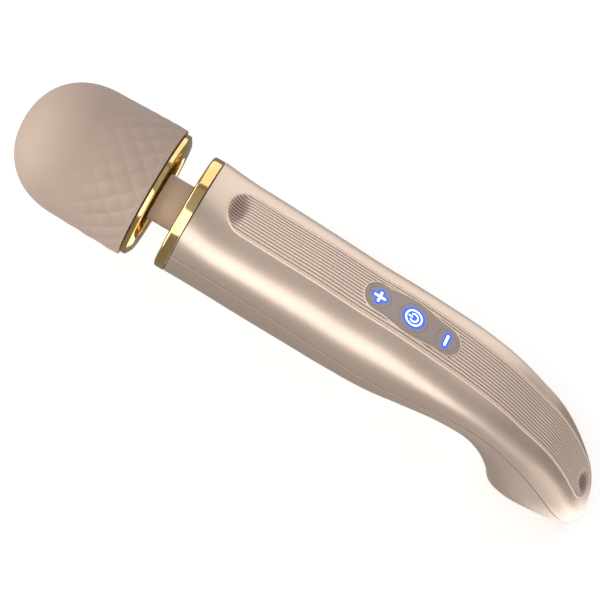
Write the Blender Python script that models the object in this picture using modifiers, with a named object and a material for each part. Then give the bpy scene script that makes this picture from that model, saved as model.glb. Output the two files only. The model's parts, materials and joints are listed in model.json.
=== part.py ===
"""Handheld wand massager: a silicone head on a flexible neck, over a two-shell handle with a curled tail.

All sizes are in millimetres. X runs along the neck, from the head (-X) to the tail (+X), and
Z points out of the front, where the keys are. The model is laid out from the rear face of the
handle ring, then moved as a whole so that its origin is the middle of its base.
"""

import math

import bmesh
import bpy
import numpy as np
from mathutils import Matrix, Vector

MM = 0.001

# ---- driving dimensions ----
GAP = 0.3  # between two pieces that touch on the real object
ROUND_STEPS = 36
SMALL_STEPS = 16

HANDLE_LENGTH = 170.4  # rear face of the handle ring to the tail tip
HANDLE_RADIUS = 21.5
SHELL_WALL = 2.2
TAIL_ROUNDING = 14.0  # length over which the tail end closes

HEAD_RADIUS = 24.45
HEAD_SHOULDER_RADIUS = 23.9  # where the dome starts
HEAD_LENGTH = 51.2
DOME_LENGTH = 25.0
DOME_POWER = 2.2
CAP_WALL = 3.0
HEAD_SHELL_WALL = 1.8

HANDLE_RING_HEIGHT = 4.15
HEAD_RING_HEIGHT = 3.25
HEAD_RING_RADIUS = 23.3
HEAD_RING_WIDTH = 6.7  # outer edge to the hole
HANDLE_RING_WIDTH = 4.5
RING_CHAMFER = 1.2
CHAMFER_START = 0.35  # share of the chamfer where its middle facet starts
NECK_GAP = 8.7  # between the two rings
NECK_RADIUS = 8.75
NECK_BORE = 6.4
SPRING_RADIUS = 5.1
SPRING_WIRE = 1.2
SPRING_TURNS = 5
CABLE_HOLE = 3.2
CABLE_RADIUS = 0.9
SOCKET_SWING = 2.45  # room round the neck in its socket
SOCKET_WALL = 2.5
SOCKET_RECESS = 0.8  # its rim below the handle ring's top
SLEEVE_CLEARANCE = 2.7  # sleeve to the head's base, for the bend
SLEEVE_START = 2.5
LID_THICKNESS = 2.5
LID_STEP = 0.5

MOTOR_RADIUS = 12.0
MOTOR_LENGTH = 28.0
MOTOR_STANDOFF = 6.5  # above the head's base
MOTOR_NOSE = 1.5
NOSE_WIDTH = 2.0
GRIP_START = 3.0
GRIP_LENGTH = 11.0
BUSH_SIZE = 2.2  # wall and length
SHAFT_RADIUS = 1.0
SHAFT_TAIL = 2.0
SHAFT_END_PLAY = 0.6
WEIGHT_RADIUS = 8.5
WEIGHT_LENGTH = 6.0

PANEL_SHARE = 0.4842  # of the handle length, to the middle of the control panel
PANEL_LENGTH = 38.4
PANEL_WIDTH = 11.4
PANEL_LOBE = 14.2  # width across the power key
LOBE_LENGTH = 22.0
PANEL_DEPTH = 2.4
KEY_PITCH = 13.7
KEY_RADIUS = 4.2
POWER_KEY_RADIUS = 5.5
KEY_TRAVEL = 0.4
KEY_FLANGE = 0.8  # how far the flange reaches past the key
KEY_STEM = 1.2
STEM_RADIUS = 1.5
SWITCH_SIZE = 4.5
SWITCH_HEIGHT = 2.0
BOARD_LENGTH = 50.0
BOARD_WIDTH = 14.0
BOARD_THICKNESS = 1.2
LED_SIZE = (1.6, 1.0, 0.8)
LED_OFFSET = 1.6  # from the switch's edge
SCREW_RADIUS = 0.8
SCREW_HEAD_RADIUS = 1.7
SCREW_HEAD_HEIGHT = 0.9
SCREW_BITE = 2.2  # into the boss
BOSS_RADIUS = 2.2
BOSS_INSET = 2.6  # board end to the boss

CELL_RADIUS = 9.2
CELL_LENGTH = 65.0
CELL_START = 14.0
CELL_DROP = 6.4  # cell axis below the neck axis
CRADLE_WALL = 1.4
CRADLE_SHORTER = 8.0  # than the cell
CRADLE_RIM = 2.0  # how far the cradle's open edge is below the cell's axis

PORT_LENGTH = 16.0
PORT_WIDTH = 8.0
PORT_DEPTH = 2.0
PORT_RECESS = 0.5
PORT_SHARE = 0.885  # of the handle length, to the middle of the charging plate
CONTACT_RADIUS = 1.2
CONTACT_PITCH = 4.4
MAGNET_RADIUS = 1.4
MAGNET_LENGTH = 2.5
CONTACT_TAIL = 0.8  # behind the plate
LAP = 0.2  # how far two solids run into each other before they are joined
CUTTER_REACH = 9.0  # how deep a cutter goes below the panel's plane, through the shell
CUTTER_TOP = 4.0

# ---- places that follow from them, as heights above the rear face of the handle ring ----
HANDLE_RING_TOP = HANDLE_RING_HEIGHT
HEAD_RING_BASE = HANDLE_RING_TOP + NECK_GAP
HEAD_RING_TOP = HEAD_RING_BASE + HEAD_RING_HEIGHT
HEAD_BASE = HEAD_RING_TOP + GAP
HEAD_TIP = HEAD_RING_TOP + HEAD_LENGTH
NECK_PIVOT = HANDLE_RING_TOP + NECK_GAP / 2
HEAD_HOLE = HEAD_RING_RADIUS - HEAD_RING_WIDTH
ANCHOR_FLOOR = -0.5
PANEL_X = PANEL_SHARE * HANDLE_LENGTH
PORT_X = PORT_SHARE * HANDLE_LENGTH

# ---- the handle's form ----
# Each row is a station along the parting seam: how far along, the seam's height, half the width,
# the depths of the front and of the rear, the lean of the section in degrees, and the squareness
# of the front and of the rear, 2 being an ellipse. Lengths are for a handle 171 long and 21.5 in
# radius.
FORM_LENGTH = 171.0
FORM_RADIUS = 21.5
STATIONS = np.array(
    [
        (0.0, 1.5, 21.4, 17.1, 22.6, 0.0, 2.3, 2.1),
        (12.0, 1.1, 21.4, 14.9, 22.3, 0.0, 2.3, 2.1),
        (26.0, 0.3, 21.3, 14.8, 21.4, 0.0, 2.35, 2.2),
        (50.0, -1.9, 21.2, 16.1, 19.3, 0.0, 2.35, 2.2),
        (66.0, -3.3, 21.2, 16.2, 17.6, 0.0, 2.4, 2.2),
        (81.0, -4.1, 21.0, 16.3, 15.5, 0.0, 2.55, 2.2),
        (95.0, -3.4, 20.4, 13.8, 12.8, 0.0, 2.8, 2.2),
        (109.0, -2.4, 19.5, 10.4, 12.2, 3.0, 3.1, 2.2),
        (124.0, -4.1, 18.2, 8.2, 13.0, 17.0, 3.6, 2.4),
        (133.0, -7.4, 17.5, 8.2, 14.9, 27.0, 3.8, 2.7),
        (142.0, -11.7, 16.8, 9.0, 18.6, 33.0, 3.8, 3.0),
        (151.0, -18.0, 15.5, 9.3, 22.2, 39.0, 3.6, 3.2),
        (156.0, -22.3, 14.6, 9.2, 20.2, 41.0, 3.5, 3.2),
        (161.5, -27.4, 13.4, 9.0, 14.5, 43.0, 3.4, 3.0),
        (167.0, -32.8, 12.4, 8.6, 8.0, 45.0, 3.3, 2.8),
        (171.0, -36.8, 11.6, 8.2, 3.6, 46.0, 3.2, 2.6),
    ]
)


def smooth_curve(knots, values, at):
    """A cubic through every knot, with the slope at each taken from its neighbours."""
    slopes = np.gradient(values, knots)
    piece = np.clip(np.searchsorted(knots, at) - 1, 0, len(knots) - 2)
    width = knots[piece + 1] - knots[piece]
    t = (at - knots[piece]) / width
    start = (1 + 2 * t) * (1 - t) ** 2 * values[piece] + t * (1 - t) ** 2 * width * slopes[piece]
    end = t**2 * (3 - 2 * t) * values[piece + 1] + t**2 * (t - 1) * width * slopes[piece + 1]
    return start + end


def form(along):
    """(seam x and z, half width, front and rear depth, lean, front and rear power) along."""
    knots = STATIONS[:, 0] / FORM_LENGTH
    seam_z, half, front, rear, lean, front_power, rear_power = (
        smooth_curve(knots, column, along) for column in STATIONS[:, 1:].T
    )
    stretch = HANDLE_RADIUS / FORM_RADIUS
    return (
        along * HANDLE_LENGTH,
        seam_z * stretch,
        half * stretch,
        front * stretch,
        rear * stretch,
        np.radians(lean),
        front_power,
        rear_power,
    )


def closing(along, inset):
    """1 along most of the handle, and falling to 0 at the tail as a rounded end does."""
    left = (1 - along) * HANDLE_LENGTH - inset
    share = 1 - np.clip(left / TAIL_ROUNDING, 0, 1)
    return (1 - share**2.5) ** 0.4


def arc_points(turn, power):
    """Cosine and sine bent to a rounder or squarer arch by the power."""
    cosine, sine = np.cos(turn), np.sin(turn)
    bend = 2 / power
    return np.sign(cosine) * np.abs(cosine) ** bend, np.abs(sine) ** bend


def shell_arc(along, turn, inset, side):
    """One shell's section points, a row for each place along and a column for each turn."""
    x, z, half, front, rear, lean, *powers = (v[:, None] for v in form(along))
    end = closing(along, inset)[:, None]
    depth, power = (front, powers[0]) if side > 0 else (rear, powers[1])
    across, up = arc_points(turn[None, :], power)
    y = -across * np.maximum(half * end - inset * (end > 0), 0)
    height = side * (GAP / 2 + up * np.maximum(depth * end - inset * (end > 0), 0))
    return np.stack([x + height * np.sin(lean), y + 0 * x, z + height * np.cos(lean)], axis=-1)


def front_height(x, y):
    """Height of the front surface over a point of the straight part of the handle."""
    _, z, half, front, _, _, power, _ = form(x / HANDLE_LENGTH)
    return z + GAP / 2 + front * (1 - np.abs(y / half) ** power) ** (1 / power)


def keel_height(x):
    """Height of the lowest line of the rear shell at x, near the tail."""
    along = np.linspace(0.7, 0.99, 60)
    keel = shell_arc(along, np.array([math.pi / 2]), 0.0, -1)[:, 0]
    return float(np.interp(x, keel[:, 0], keel[:, 2]))


# ---- making objects ----
def clear_scene():
    for obj in list(bpy.data.objects):
        bpy.data.objects.remove(obj, do_unlink=True)


def new_collection(name):
    collection = bpy.data.collections.new(name)
    bpy.context.scene.collection.children.link(collection)
    return collection


def material(name, colour, roughness, metallic=0.0):
    made = bpy.data.materials.new(name)
    made.use_nodes = True
    shader = made.node_tree.nodes["Principled BSDF"]
    shader.inputs["Base Color"].default_value = (*colour, 1.0)
    shader.inputs["Roughness"].default_value = roughness
    shader.inputs["Metallic"].default_value = metallic
    made.diffuse_color = (*colour, 1.0)
    return made


def empty(name, location, parent=None, lean=0.0):
    made = bpy.data.objects.new(name, None)
    made.parent = parent
    made.location = Vector(location) * MM
    made.rotation_euler = (0, lean, 0)
    PARTS.objects.link(made)
    return made


def place(obj, finish, parent, location=(0, 0, 0), rotation=(0, 0, 0)):
    """Puts a finished mesh object in the assembly, with its material, parent and place."""
    obj.data.materials.clear()
    obj.data.materials.append(finish)
    obj.parent = parent
    obj.location = Vector(location) * MM
    obj.rotation_euler = rotation
    obj.data.shade_smooth()
    obj.data.set_sharp_from_angle(angle=math.radians(35))
    return obj


def mesh_object(name, shape, collection=None):
    """An object from a bmesh in millimetres."""
    bmesh.ops.scale(shape, vec=(MM, MM, MM), verts=shape.verts)
    data = bpy.data.meshes.new(name)
    shape.to_mesh(data)
    shape.free()
    obj = bpy.data.objects.new(name, data)
    (collection or PARTS).objects.link(obj)
    return obj


def facing_out(shape):
    """Merges doubled points, drops what they flattened, and turns every face outwards."""
    bmesh.ops.remove_doubles(shape, verts=shape.verts, dist=1e-3)
    bmesh.ops.dissolve_degenerate(shape, edges=shape.edges, dist=1e-4)
    bmesh.ops.recalc_face_normals(shape, faces=shape.faces)
    return shape


def block(name, size, centre, collection=None):
    shape = bmesh.new()
    bmesh.ops.create_cube(shape, matrix=Matrix.Translation(centre) @ Matrix.Diagonal((*size, 1)))
    return mesh_object(name, shape, collection)


def rod(name, radius, bottom, top, x=0.0, y=0.0, steps=SMALL_STEPS, collection=None):
    """A cylinder along Z."""
    shape = bmesh.new()
    bmesh.ops.create_cone(
        shape,
        cap_ends=True,
        segments=steps,
        radius1=radius,
        radius2=radius,
        depth=top - bottom,
        matrix=Matrix.Translation((x, y, (bottom + top) / 2)),
    )
    return mesh_object(name, shape, collection)


def turned(name, profile, finish, parent, origin=0.0, steps=ROUND_STEPS):
    """A profile of (radius, height) turned about the neck axis. Its origin is on that axis.

    The profile runs down the outer side. It closes on itself, or starts and ends on the axis.
    """
    data = bpy.data.meshes.new(name)
    points = [(radius * MM, 0, (height - origin) * MM) for radius, height in profile]
    on_axis = profile[0][0] == 0 and profile[-1][0] == 0
    edges = [(i, i + 1) for i in range(len(points) - 1)]
    if not on_axis:
        edges.append((len(points) - 1, 0))
    data.from_pydata(points, edges, [])
    obj = bpy.data.objects.new(name, data)
    PARTS.objects.link(obj)
    screw = obj.modifiers.new("turn", "SCREW")
    screw.axis = "Z"
    screw.steps = screw.render_steps = steps
    screw.use_merge_vertices = True
    screw.merge_threshold = 0.00001
    finished = freeze(obj)
    return place(finished, finish, parent, (-origin - offset_of(parent), 0, 0), AXIS_TURN)


def offset_of(parent):
    """How far along X the parent empties are from the handle ring."""
    return PIVOT_OFFSETS.get(parent.name, 0.0)


def freeze(obj):
    """The object with its modifiers applied."""
    graph = bpy.context.evaluated_depsgraph_get()
    data = bpy.data.meshes.new_from_object(obj.evaluated_get(graph))
    obj.modifiers.clear()
    obj.data = data
    return obj


def boolean(obj, other, operation):
    """Cuts, joins or keeps the common part with the other object, which must share its frame."""
    modifier = obj.modifiers.new(operation.lower(), "BOOLEAN")
    modifier.operation = operation
    modifier.object = other
    modifier.solver = "EXACT"
    bpy.context.view_layer.update()
    freeze(obj)
    bpy.data.objects.remove(other, do_unlink=True)
    return obj


def cut(obj, other):
    return boolean(obj, other, "DIFFERENCE")


def join(obj, other):
    return boolean(obj, other, "UNION")


def tube(name, route, radius, finish, parent, sides=2):
    """A wire along a route of points, with closed ends."""
    curve = bpy.data.curves.new(name, "CURVE")
    curve.dimensions = "3D"
    curve.bevel_depth = radius * MM
    curve.bevel_resolution = sides
    curve.use_fill_caps = True
    spline = curve.splines.new("POLY")
    spline.points.add(len(route) - 1)
    for point, (x, y, z) in zip(spline.points, route):
        point.co = (x * MM, y * MM, z * MM, 1)
    obj = bpy.data.objects.new(name, curve)
    obj.parent = parent
    curve.materials.append(finish)
    PARTS.objects.link(obj)
    return obj


def wire_route(points, count=14):
    """Evenly spaced points of a smooth curve through the given ones."""
    points = np.array(points, float)
    steps = np.linalg.norm(np.diff(points, axis=0), axis=1)
    knots = np.concatenate([[0], np.cumsum(steps)])
    at = np.linspace(0, knots[-1], count)
    return np.stack([smooth_curve(knots, column, at) for column in points.T], axis=-1)


# ---- head ----
def dome_profile(inset, base):
    """Outer side of the head from the tip down to the base, moved in by the inset."""
    turn = np.linspace(0, math.pi / 2, 9)
    bend = 2 / DOME_POWER
    radius = (HEAD_SHOULDER_RADIUS - inset) * np.sin(turn) ** bend
    height = HEAD_TIP - DOME_LENGTH + (DOME_LENGTH - inset) * np.cos(turn) ** bend
    radius[0] = 0
    return [*zip(radius, height), (HEAD_RADIUS - inset, base)]


def hollow_dome(outer_inset, wall, base):
    outer = dome_profile(outer_inset, base)
    inner = dome_profile(outer_inset + wall, base)
    return outer + inner[::-1]


def head_pieces():
    turned("head_cap", hollow_dome(0, CAP_WALL, HEAD_BASE), SILICONE, HEAD, NECK_PIVOT)
    inset = CAP_WALL + GAP
    shell = hollow_dome(inset, HEAD_SHELL_WALL, HEAD_BASE)
    turned("head_shell", shell, DARK_PLASTIC, HEAD, NECK_PIVOT)
    ring = ring_profile(HEAD_RING_RADIUS, HEAD_HOLE, HEAD_RING_BASE, HEAD_RING_TOP)
    turned("head_ring", ring, GOLD, HEAD, NECK_PIVOT)
    lid_radius = HEAD_RADIUS - inset - HEAD_SHELL_WALL - 2 * GAP
    lid = [
        (lid_radius, HEAD_BASE + LID_THICKNESS),
        (lid_radius, HEAD_BASE),
        (HEAD_HOLE - GAP, HEAD_BASE),
        (HEAD_HOLE - GAP, HEAD_BASE - LID_STEP),
        (CABLE_HOLE, HEAD_BASE - LID_STEP),
        (CABLE_HOLE, HEAD_BASE + LID_THICKNESS),
    ]
    turned("head_base", lid, DARK_PLASTIC, HEAD, NECK_PIVOT)


def ring_profile(outer, inner, bottom, top):
    """A flat band with its two outer edges bevelled."""
    return [
        (inner, top),
        (outer - RING_CHAMFER / 2, top),
        (outer, top - RING_CHAMFER / 2),
        (outer, bottom + RING_CHAMFER),
        (outer - CHAMFER_START * RING_CHAMFER, bottom + CHAMFER_START * RING_CHAMFER),
        (outer - RING_CHAMFER, bottom),
        (inner, bottom),
    ]


def motor_pieces():
    bottom = HEAD_BASE + MOTOR_STANDOFF
    top = bottom + MOTOR_LENGTH
    bore = SHAFT_RADIUS + GAP
    tip = HEAD_TIP - CAP_WALL - HEAD_SHELL_WALL - 2 * GAP
    can = [
        (bore, top + MOTOR_NOSE),
        (bore + NOSE_WIDTH, top + MOTOR_NOSE),
        (bore + NOSE_WIDTH, top),
        (MOTOR_RADIUS, top),
        (MOTOR_RADIUS, bottom),
        (bore, bottom),
    ]
    turned("motor_can", can, STEEL, HEAD, NECK_PIVOT)
    grip_outer = HEAD_SHOULDER_RADIUS - CAP_WALL - HEAD_SHELL_WALL - 2 * GAP
    grip_inner = MOTOR_RADIUS + GAP
    grip_bottom = bottom + GRIP_START
    grip_top = grip_bottom + GRIP_LENGTH
    grip = [
        (grip_inner, grip_top),
        (grip_outer, grip_top),
        (grip_outer, grip_bottom),
        (grip_inner, grip_bottom),
    ]
    turned("motor_grommet", grip, RUBBER, HEAD, NECK_PIVOT)
    bush_outer, bush_bottom = bore + BUSH_SIZE, tip - BUSH_SIZE
    bush = [(bore, tip), (bush_outer, tip), (bush_outer, bush_bottom), (bore, bush_bottom)]
    turned("shaft_bush", bush, BRASS, HEAD, NECK_PIVOT, SMALL_STEPS)
    shaft_top, shaft_bottom = tip - SHAFT_END_PLAY, bottom - SHAFT_TAIL
    shaft = [(0, shaft_top), (SHAFT_RADIUS, shaft_top), (SHAFT_RADIUS, shaft_bottom), (0, shaft_bottom)]
    turned("motor_shaft", shaft, STEEL, ROTOR, NECK_PIVOT, SMALL_STEPS)
    weight_bottom = top + MOTOR_NOSE + 2 * GAP
    weight_top = weight_bottom + WEIGHT_LENGTH
    weight = turned(
        "eccentric_weight",
        [
            (bore, weight_top),
            (WEIGHT_RADIUS, weight_top),
            (WEIGHT_RADIUS, weight_bottom),
            (bore, weight_bottom),
        ],
        STEEL,
        ROTOR,
        NECK_PIVOT,
        ROUND_STEPS // 2,
    )
    half = block(
        "weight_cutter",
        (2 * WEIGHT_RADIUS, 3 * WEIGHT_RADIUS, 3 * WEIGHT_LENGTH),
        (bore + NOSE_WIDTH + WEIGHT_RADIUS, 0, (weight_top + weight_bottom) / 2 - NECK_PIVOT),
        CUTTERS,
    )
    half.parent = weight.parent
    half.location = weight.location
    half.rotation_euler = weight.rotation_euler
    cut(weight, half)


# ---- neck ----
def neck_pieces():
    sleeve_top = HEAD_BASE - SLEEVE_CLEARANCE
    sleeve_bottom = SLEEVE_START
    sleeve = [
        (NECK_BORE, sleeve_top),
        (NECK_RADIUS, sleeve_top),
        (NECK_RADIUS, sleeve_bottom),
        (NECK_BORE, sleeve_bottom),
    ]
    turned("neck_sleeve", sleeve, SILICONE, NECK, NECK_PIVOT)
    inner = SPRING_WIRE / 2 + GAP
    bottom = ANCHOR_FLOOR + inner
    top = HEAD_BASE - LID_STEP - inner
    turn = np.linspace(0, 2 * math.pi * SPRING_TURNS, 11 * SPRING_TURNS + 1)
    height = np.linspace(bottom, top, len(turn))
    x = NECK_PIVOT - height
    route = np.stack([x, SPRING_RADIUS * np.cos(turn), SPRING_RADIUS * np.sin(turn)], axis=-1)
    tube("neck_spring", route, SPRING_WIRE / 2, STEEL, NECK, 1)
    motor_back = HEAD_BASE + MOTOR_STANDOFF - GAP - CABLE_RADIUS
    board_end = board_point(-BOARD_LENGTH / 2)
    cell_top = CELL_RADIUS - CELL_DROP
    route = wire_route(
        [
            (board_end.x - CABLE_RADIUS - GAP, -4.0, board_end.z + 0.2),
            (board_end.x - 10.0, -4.0, board_end.z + 0.8),
            (CELL_START + 12.0, -3.0, cell_top + 2.7),
            (CELL_START + 1.0, -2.0, cell_top + 2.0),
            (CELL_START - 7.0, -0.5, 1.6),
            (3.5, 0, 0.0),
            (-NECK_PIVOT, 0, 0.0),
            (-HEAD_BASE - 2.0, 0, 1.4),
            (-motor_back, 0, 5.0),
        ],
        24,
    )
    route[:, 0] += NECK_PIVOT
    tube("motor_lead", route, CABLE_RADIUS, BLACK_WIRE, NECK)


def handle_collar():
    """The gold ring that ends the handle, and the socket inside it that holds the neck."""
    hole = HANDLE_RADIUS - HANDLE_RING_WIDTH
    bottom, top = 0.0, HANDLE_RING_TOP
    turned(
        "handle_ring",
        [
            (hole, top),
            (HANDLE_RADIUS - RING_CHAMFER, top),
            (HANDLE_RADIUS - CHAMFER_START * RING_CHAMFER, top - CHAMFER_START * RING_CHAMFER),
            (HANDLE_RADIUS, top - RING_CHAMFER),
            (HANDLE_RADIUS, bottom),
            (hole, bottom),
        ],
        GOLD,
        HANDLE,
    )
    rim = hole - GAP
    swing = NECK_RADIUS + SOCKET_SWING
    inside = rim - SOCKET_WALL + GAP
    socket = [
        (swing, top - SOCKET_RECESS),
        (rim, top - SOCKET_RECESS),
        (rim, bottom),
        (inside, bottom),
        (inside, ANCHOR_FLOOR - SOCKET_WALL),
        (CABLE_HOLE, ANCHOR_FLOOR - SOCKET_WALL),
        (CABLE_HOLE, ANCHOR_FLOOR),
        (swing, ANCHOR_FLOOR),
    ]
    turned("neck_socket", socket, DARK_PLASTIC, HANDLE)


# ---- handle shells ----
def shell(name, side, finish):
    """Half of the handle: an outer and an inner arch at each station, joined along the seam."""
    along = np.concatenate([np.linspace(0, 0.62, 9)[:-1], np.linspace(0.62, 0.93, 14)])
    tail_turn = np.linspace(0, math.pi / 2, 6)[1:]
    along = np.concatenate([along, 0.93 + 0.07 * np.sin(tail_turn)])
    turn = np.linspace(0, math.pi, 15)
    outer = shell_arc(along, turn, 0.0, side)
    inner = shell_arc(along, turn, SHELL_WALL, side)
    outer[0, :, 0] += GAP
    inner[0, :, 0] += GAP
    rings = np.concatenate([outer, inner[:, ::-1]], axis=1)
    shape = bmesh.new()
    rows = [[shape.verts.new(point) for point in ring] for ring in rings]
    for near, far in zip(rows, rows[1:]):
        for i in range(len(near)):
            j = (i + 1) % len(near)
            shape.faces.new((near[i], near[j], far[j], far[i]))
    count = len(turn)
    for i in range(count - 1):
        first, opposite = rows[0][i : i + 2], rows[0][2 * count - 2 - i : 2 * count - i]
        shape.faces.new((*first[::-1], *opposite[::-1]))
    obj = mesh_object(name, facing_out(shape))
    return place(obj, finish, HANDLE)


# ---- control panel ----
def panel_half_width(u):
    """Half the panel's width: rounded ends, and a lobe that swells over the power key."""
    end = PANEL_LENGTH / 2 - PANEL_WIDTH / 2
    past = np.clip((np.abs(u) - end) / (PANEL_WIDTH / 2), 0, 1)
    straight = PANEL_WIDTH / 2 * np.sqrt(1 - past**2)
    swell = 0.5 + 0.5 * np.cos(2 * math.pi * np.clip(u / LOBE_LENGTH, -0.5, 0.5))
    return straight + (PANEL_LOBE - PANEL_WIDTH) / 2 * swell**0.8


def panel_outline(grow=0.0):
    """The panel's edge as seen from the front, with its ends closely spaced."""
    turn = np.linspace(0, math.pi, 25)
    u = PANEL_LENGTH / 2 * np.cos(turn)
    half = panel_half_width(u)
    u = u * (1 + 2 * grow / PANEL_LENGTH)
    upper = np.stack([u, half + grow * (half > 0)], axis=-1)
    lower = upper[-2:0:-1] * (1, -1)
    return np.concatenate([upper, lower])


def circle_outline(radius, u, steps=ROUND_STEPS // 2):
    turn = np.linspace(0, 2 * math.pi, steps, endpoint=False)
    return np.stack([u + radius * np.cos(turn), radius * np.sin(turn)], axis=-1)


def panel_surface(u, v):
    """Height of the handle's front surface in the panel's own leaning frame."""
    cosine, sine = math.cos(PANEL_LEAN), math.sin(PANEL_LEAN)
    w = np.zeros_like(u)
    for _ in range(6):
        x = PANEL_X + u * cosine + w * sine
        drop = front_height(x, v) - PANEL_Z
        w = (drop + u * sine) / cosine
    return w


def plate(name, outline, bottom, collection=None, top=None):
    """A plate with the given edge, flat below. Its top follows the handle unless one is given."""
    centre = (outline.min(axis=0) + outline.max(axis=0)) / 2
    shape = bmesh.new()
    rows = []
    for share in (0.35, 0.7, 1.0):
        spot = centre + share * (outline - centre)
        height = panel_surface(spot[:, 0], spot[:, 1]) if top is None else np.full(len(spot), top)
        rows.append([shape.verts.new((*uv, w)) for uv, w in zip(spot, height)])
    rows.append([shape.verts.new((*uv, bottom)) for uv in outline])
    for near, far in zip(rows, rows[1:]):
        for i in range(len(near)):
            j = (i + 1) % len(near)
            shape.faces.new((near[i], near[j], far[j], far[i]))
    shape.faces.new(rows[0])
    shape.faces.new(rows[-1])
    return mesh_object(name, facing_out(shape), collection)


def in_panel_frame(obj):
    obj.parent = PANEL
    return obj


def control_panel(front):
    opening = plate("panel_opening", panel_outline(GAP), -CUTTER_REACH, CUTTERS, top=CUTTER_TOP)
    cut(front, in_panel_frame(opening))
    panel = plate("control_panel", panel_outline(), -PANEL_DEPTH)
    place(panel, PANEL_FINISH, PANEL)
    for name, u, radius in KEYS:
        hole = rod(
            "key_hole", radius + GAP, -CUTTER_REACH, CUTTER_TOP, u, 0.0, ROUND_STEPS // 2, CUTTERS
        )
        cut(panel, in_panel_frame(hole))
        key(name, u, radius)


def key(name, u, radius):
    """A key cap that follows the panel's top, with a flange below the panel and a short stem."""
    flange_top = -PANEL_DEPTH - GAP
    flange_bottom = flange_top - KEY_FLANGE
    cap = plate(name, circle_outline(radius, u), flange_top - LAP)
    flange = rod("flange", radius + KEY_FLANGE, flange_bottom, flange_top, u, collection=CUTTERS)
    join(cap, flange)
    stem_bottom = flange_bottom - KEY_STEM
    stem = rod("stem", STEM_RADIUS, stem_bottom, flange_top - LAP, u, collection=CUTTERS)
    join(cap, stem)
    cap.data.transform(Matrix.Translation((-u * MM, 0, 0)))
    place(cap, KEY_FINISH, PANEL, (u, 0, 0))


def board_pieces(front):
    """The circuit board under the panel, what it carries, and the two bosses it is screwed to."""
    switch_top = -PANEL_DEPTH - GAP - KEY_FLANGE - KEY_STEM - KEY_TRAVEL - GAP
    switch_bottom = switch_top - SWITCH_HEIGHT
    board_top = switch_bottom - GAP
    board_bottom = board_top - BOARD_THICKNESS
    board_middle = (board_top + board_bottom) / 2
    board_size = (BOARD_LENGTH, BOARD_WIDTH, BOARD_THICKNESS)
    board = block("circuit_board", board_size, (0, 0, board_middle))
    place(board, BOARD_FINISH, PANEL)
    for key_name, u, _ in KEYS:
        word = key_name.split("_")[0]
        size = (SWITCH_SIZE, SWITCH_SIZE, SWITCH_HEIGHT)
        switch = block(f"{word}_switch", size, (u, 0, (switch_top + switch_bottom) / 2))
        place(switch, BLACK_PLASTIC, PANEL)
        led_middle = (u, SWITCH_SIZE / 2 + LED_OFFSET, board_top + GAP + LED_SIZE[2] / 2)
        led = block(f"{word}_led", LED_SIZE, led_middle)
        place(led, LED_FINISH, PANEL)
    boss_u = BOARD_LENGTH / 2 - BOSS_INSET
    for word, u in (("front", -boss_u), ("rear", boss_u)):
        wall = float(panel_surface(np.array([u]), np.array([0.0]))[0]) - SHELL_WALL / 2
        boss = rod("boss", BOSS_RADIUS, board_top + GAP, wall, u, collection=CUTTERS)
        join(front, in_panel_frame(boss))
        bore = SCREW_RADIUS + GAP
        for target in (front, board):
            bore_top = board_top + SCREW_BITE + GAP
            hole = rod("screw_hole", bore, board_bottom - 1, bore_top, u, collection=CUTTERS)
            cut(target, in_panel_frame(hole))
        head_top = board_bottom - GAP
        screw = rod(
            f"board_screw_{word}", SCREW_HEAD_RADIUS, head_top - SCREW_HEAD_HEIGHT, head_top, u
        )
        shank_bottom, shank_top = head_top - SCREW_HEAD_HEIGHT / 2, board_top + SCREW_BITE
        shank = rod("shank", SCREW_RADIUS, shank_bottom, shank_top, u, collection=CUTTERS)
        join(screw, shank)
        place(screw, STEEL, PANEL)


# ---- power ----
def battery():
    middle = CELL_START + CELL_LENGTH / 2
    cell = rod("battery_cell", CELL_RADIUS, -CELL_LENGTH / 2, CELL_LENGTH / 2, steps=32)
    place(cell, CELL_FINISH, HANDLE, (middle, 0, -CELL_DROP), AXIS_TURN)
    length = CELL_LENGTH - CRADLE_SHORTER
    outer = CELL_RADIUS + GAP + CRADLE_WALL
    cradle = rod("battery_cradle", outer, -length / 2, length / 2, steps=32)
    bore = rod("bore", CELL_RADIUS + GAP, -length, length, steps=32, collection=CUTTERS)
    cut(cradle, bore)
    roof = block("roof", (3 * outer, 3 * outer, 2 * length), (1.5 * outer - CRADLE_RIM, 0, 0), CUTTERS)
    cut(cradle, roof)
    place(cradle, DARK_PLASTIC, HANDLE, (middle, 0, -CELL_DROP), AXIS_TURN)
    board_end = board_point(-BOARD_LENGTH / 2)
    front_face = CELL_START - GAP - CABLE_RADIUS
    route = wire_route(
        [
            (front_face, 0, -CELL_DROP),
            (front_face - 1.5, 3.0, -1.0),
            (front_face + 2.0, 6.0, 4.5),
            (CELL_START + 16, 7.0, 7.0),
            (board_end.x - 8, 5.0, board_end.z + 1.2),
            (board_end.x - CABLE_RADIUS - GAP, 4.0, board_end.z + 0.2),
        ]
    )
    tube("battery_lead", route, CABLE_RADIUS, RED_WIRE, HANDLE)


def board_point(u):
    """The middle of the circuit board's thickness at a distance along it, in the handle's frame."""
    stack = PANEL_DEPTH + 2 * GAP + KEY_FLANGE + KEY_STEM + KEY_TRAVEL + SWITCH_HEIGHT + GAP
    w = -stack - BOARD_THICKNESS / 2
    cosine, sine = math.cos(PANEL_LEAN), math.sin(PANEL_LEAN)
    return Vector((PANEL_X + u * cosine + w * sine, 0, PANEL_Z - u * sine + w * cosine))


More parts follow.
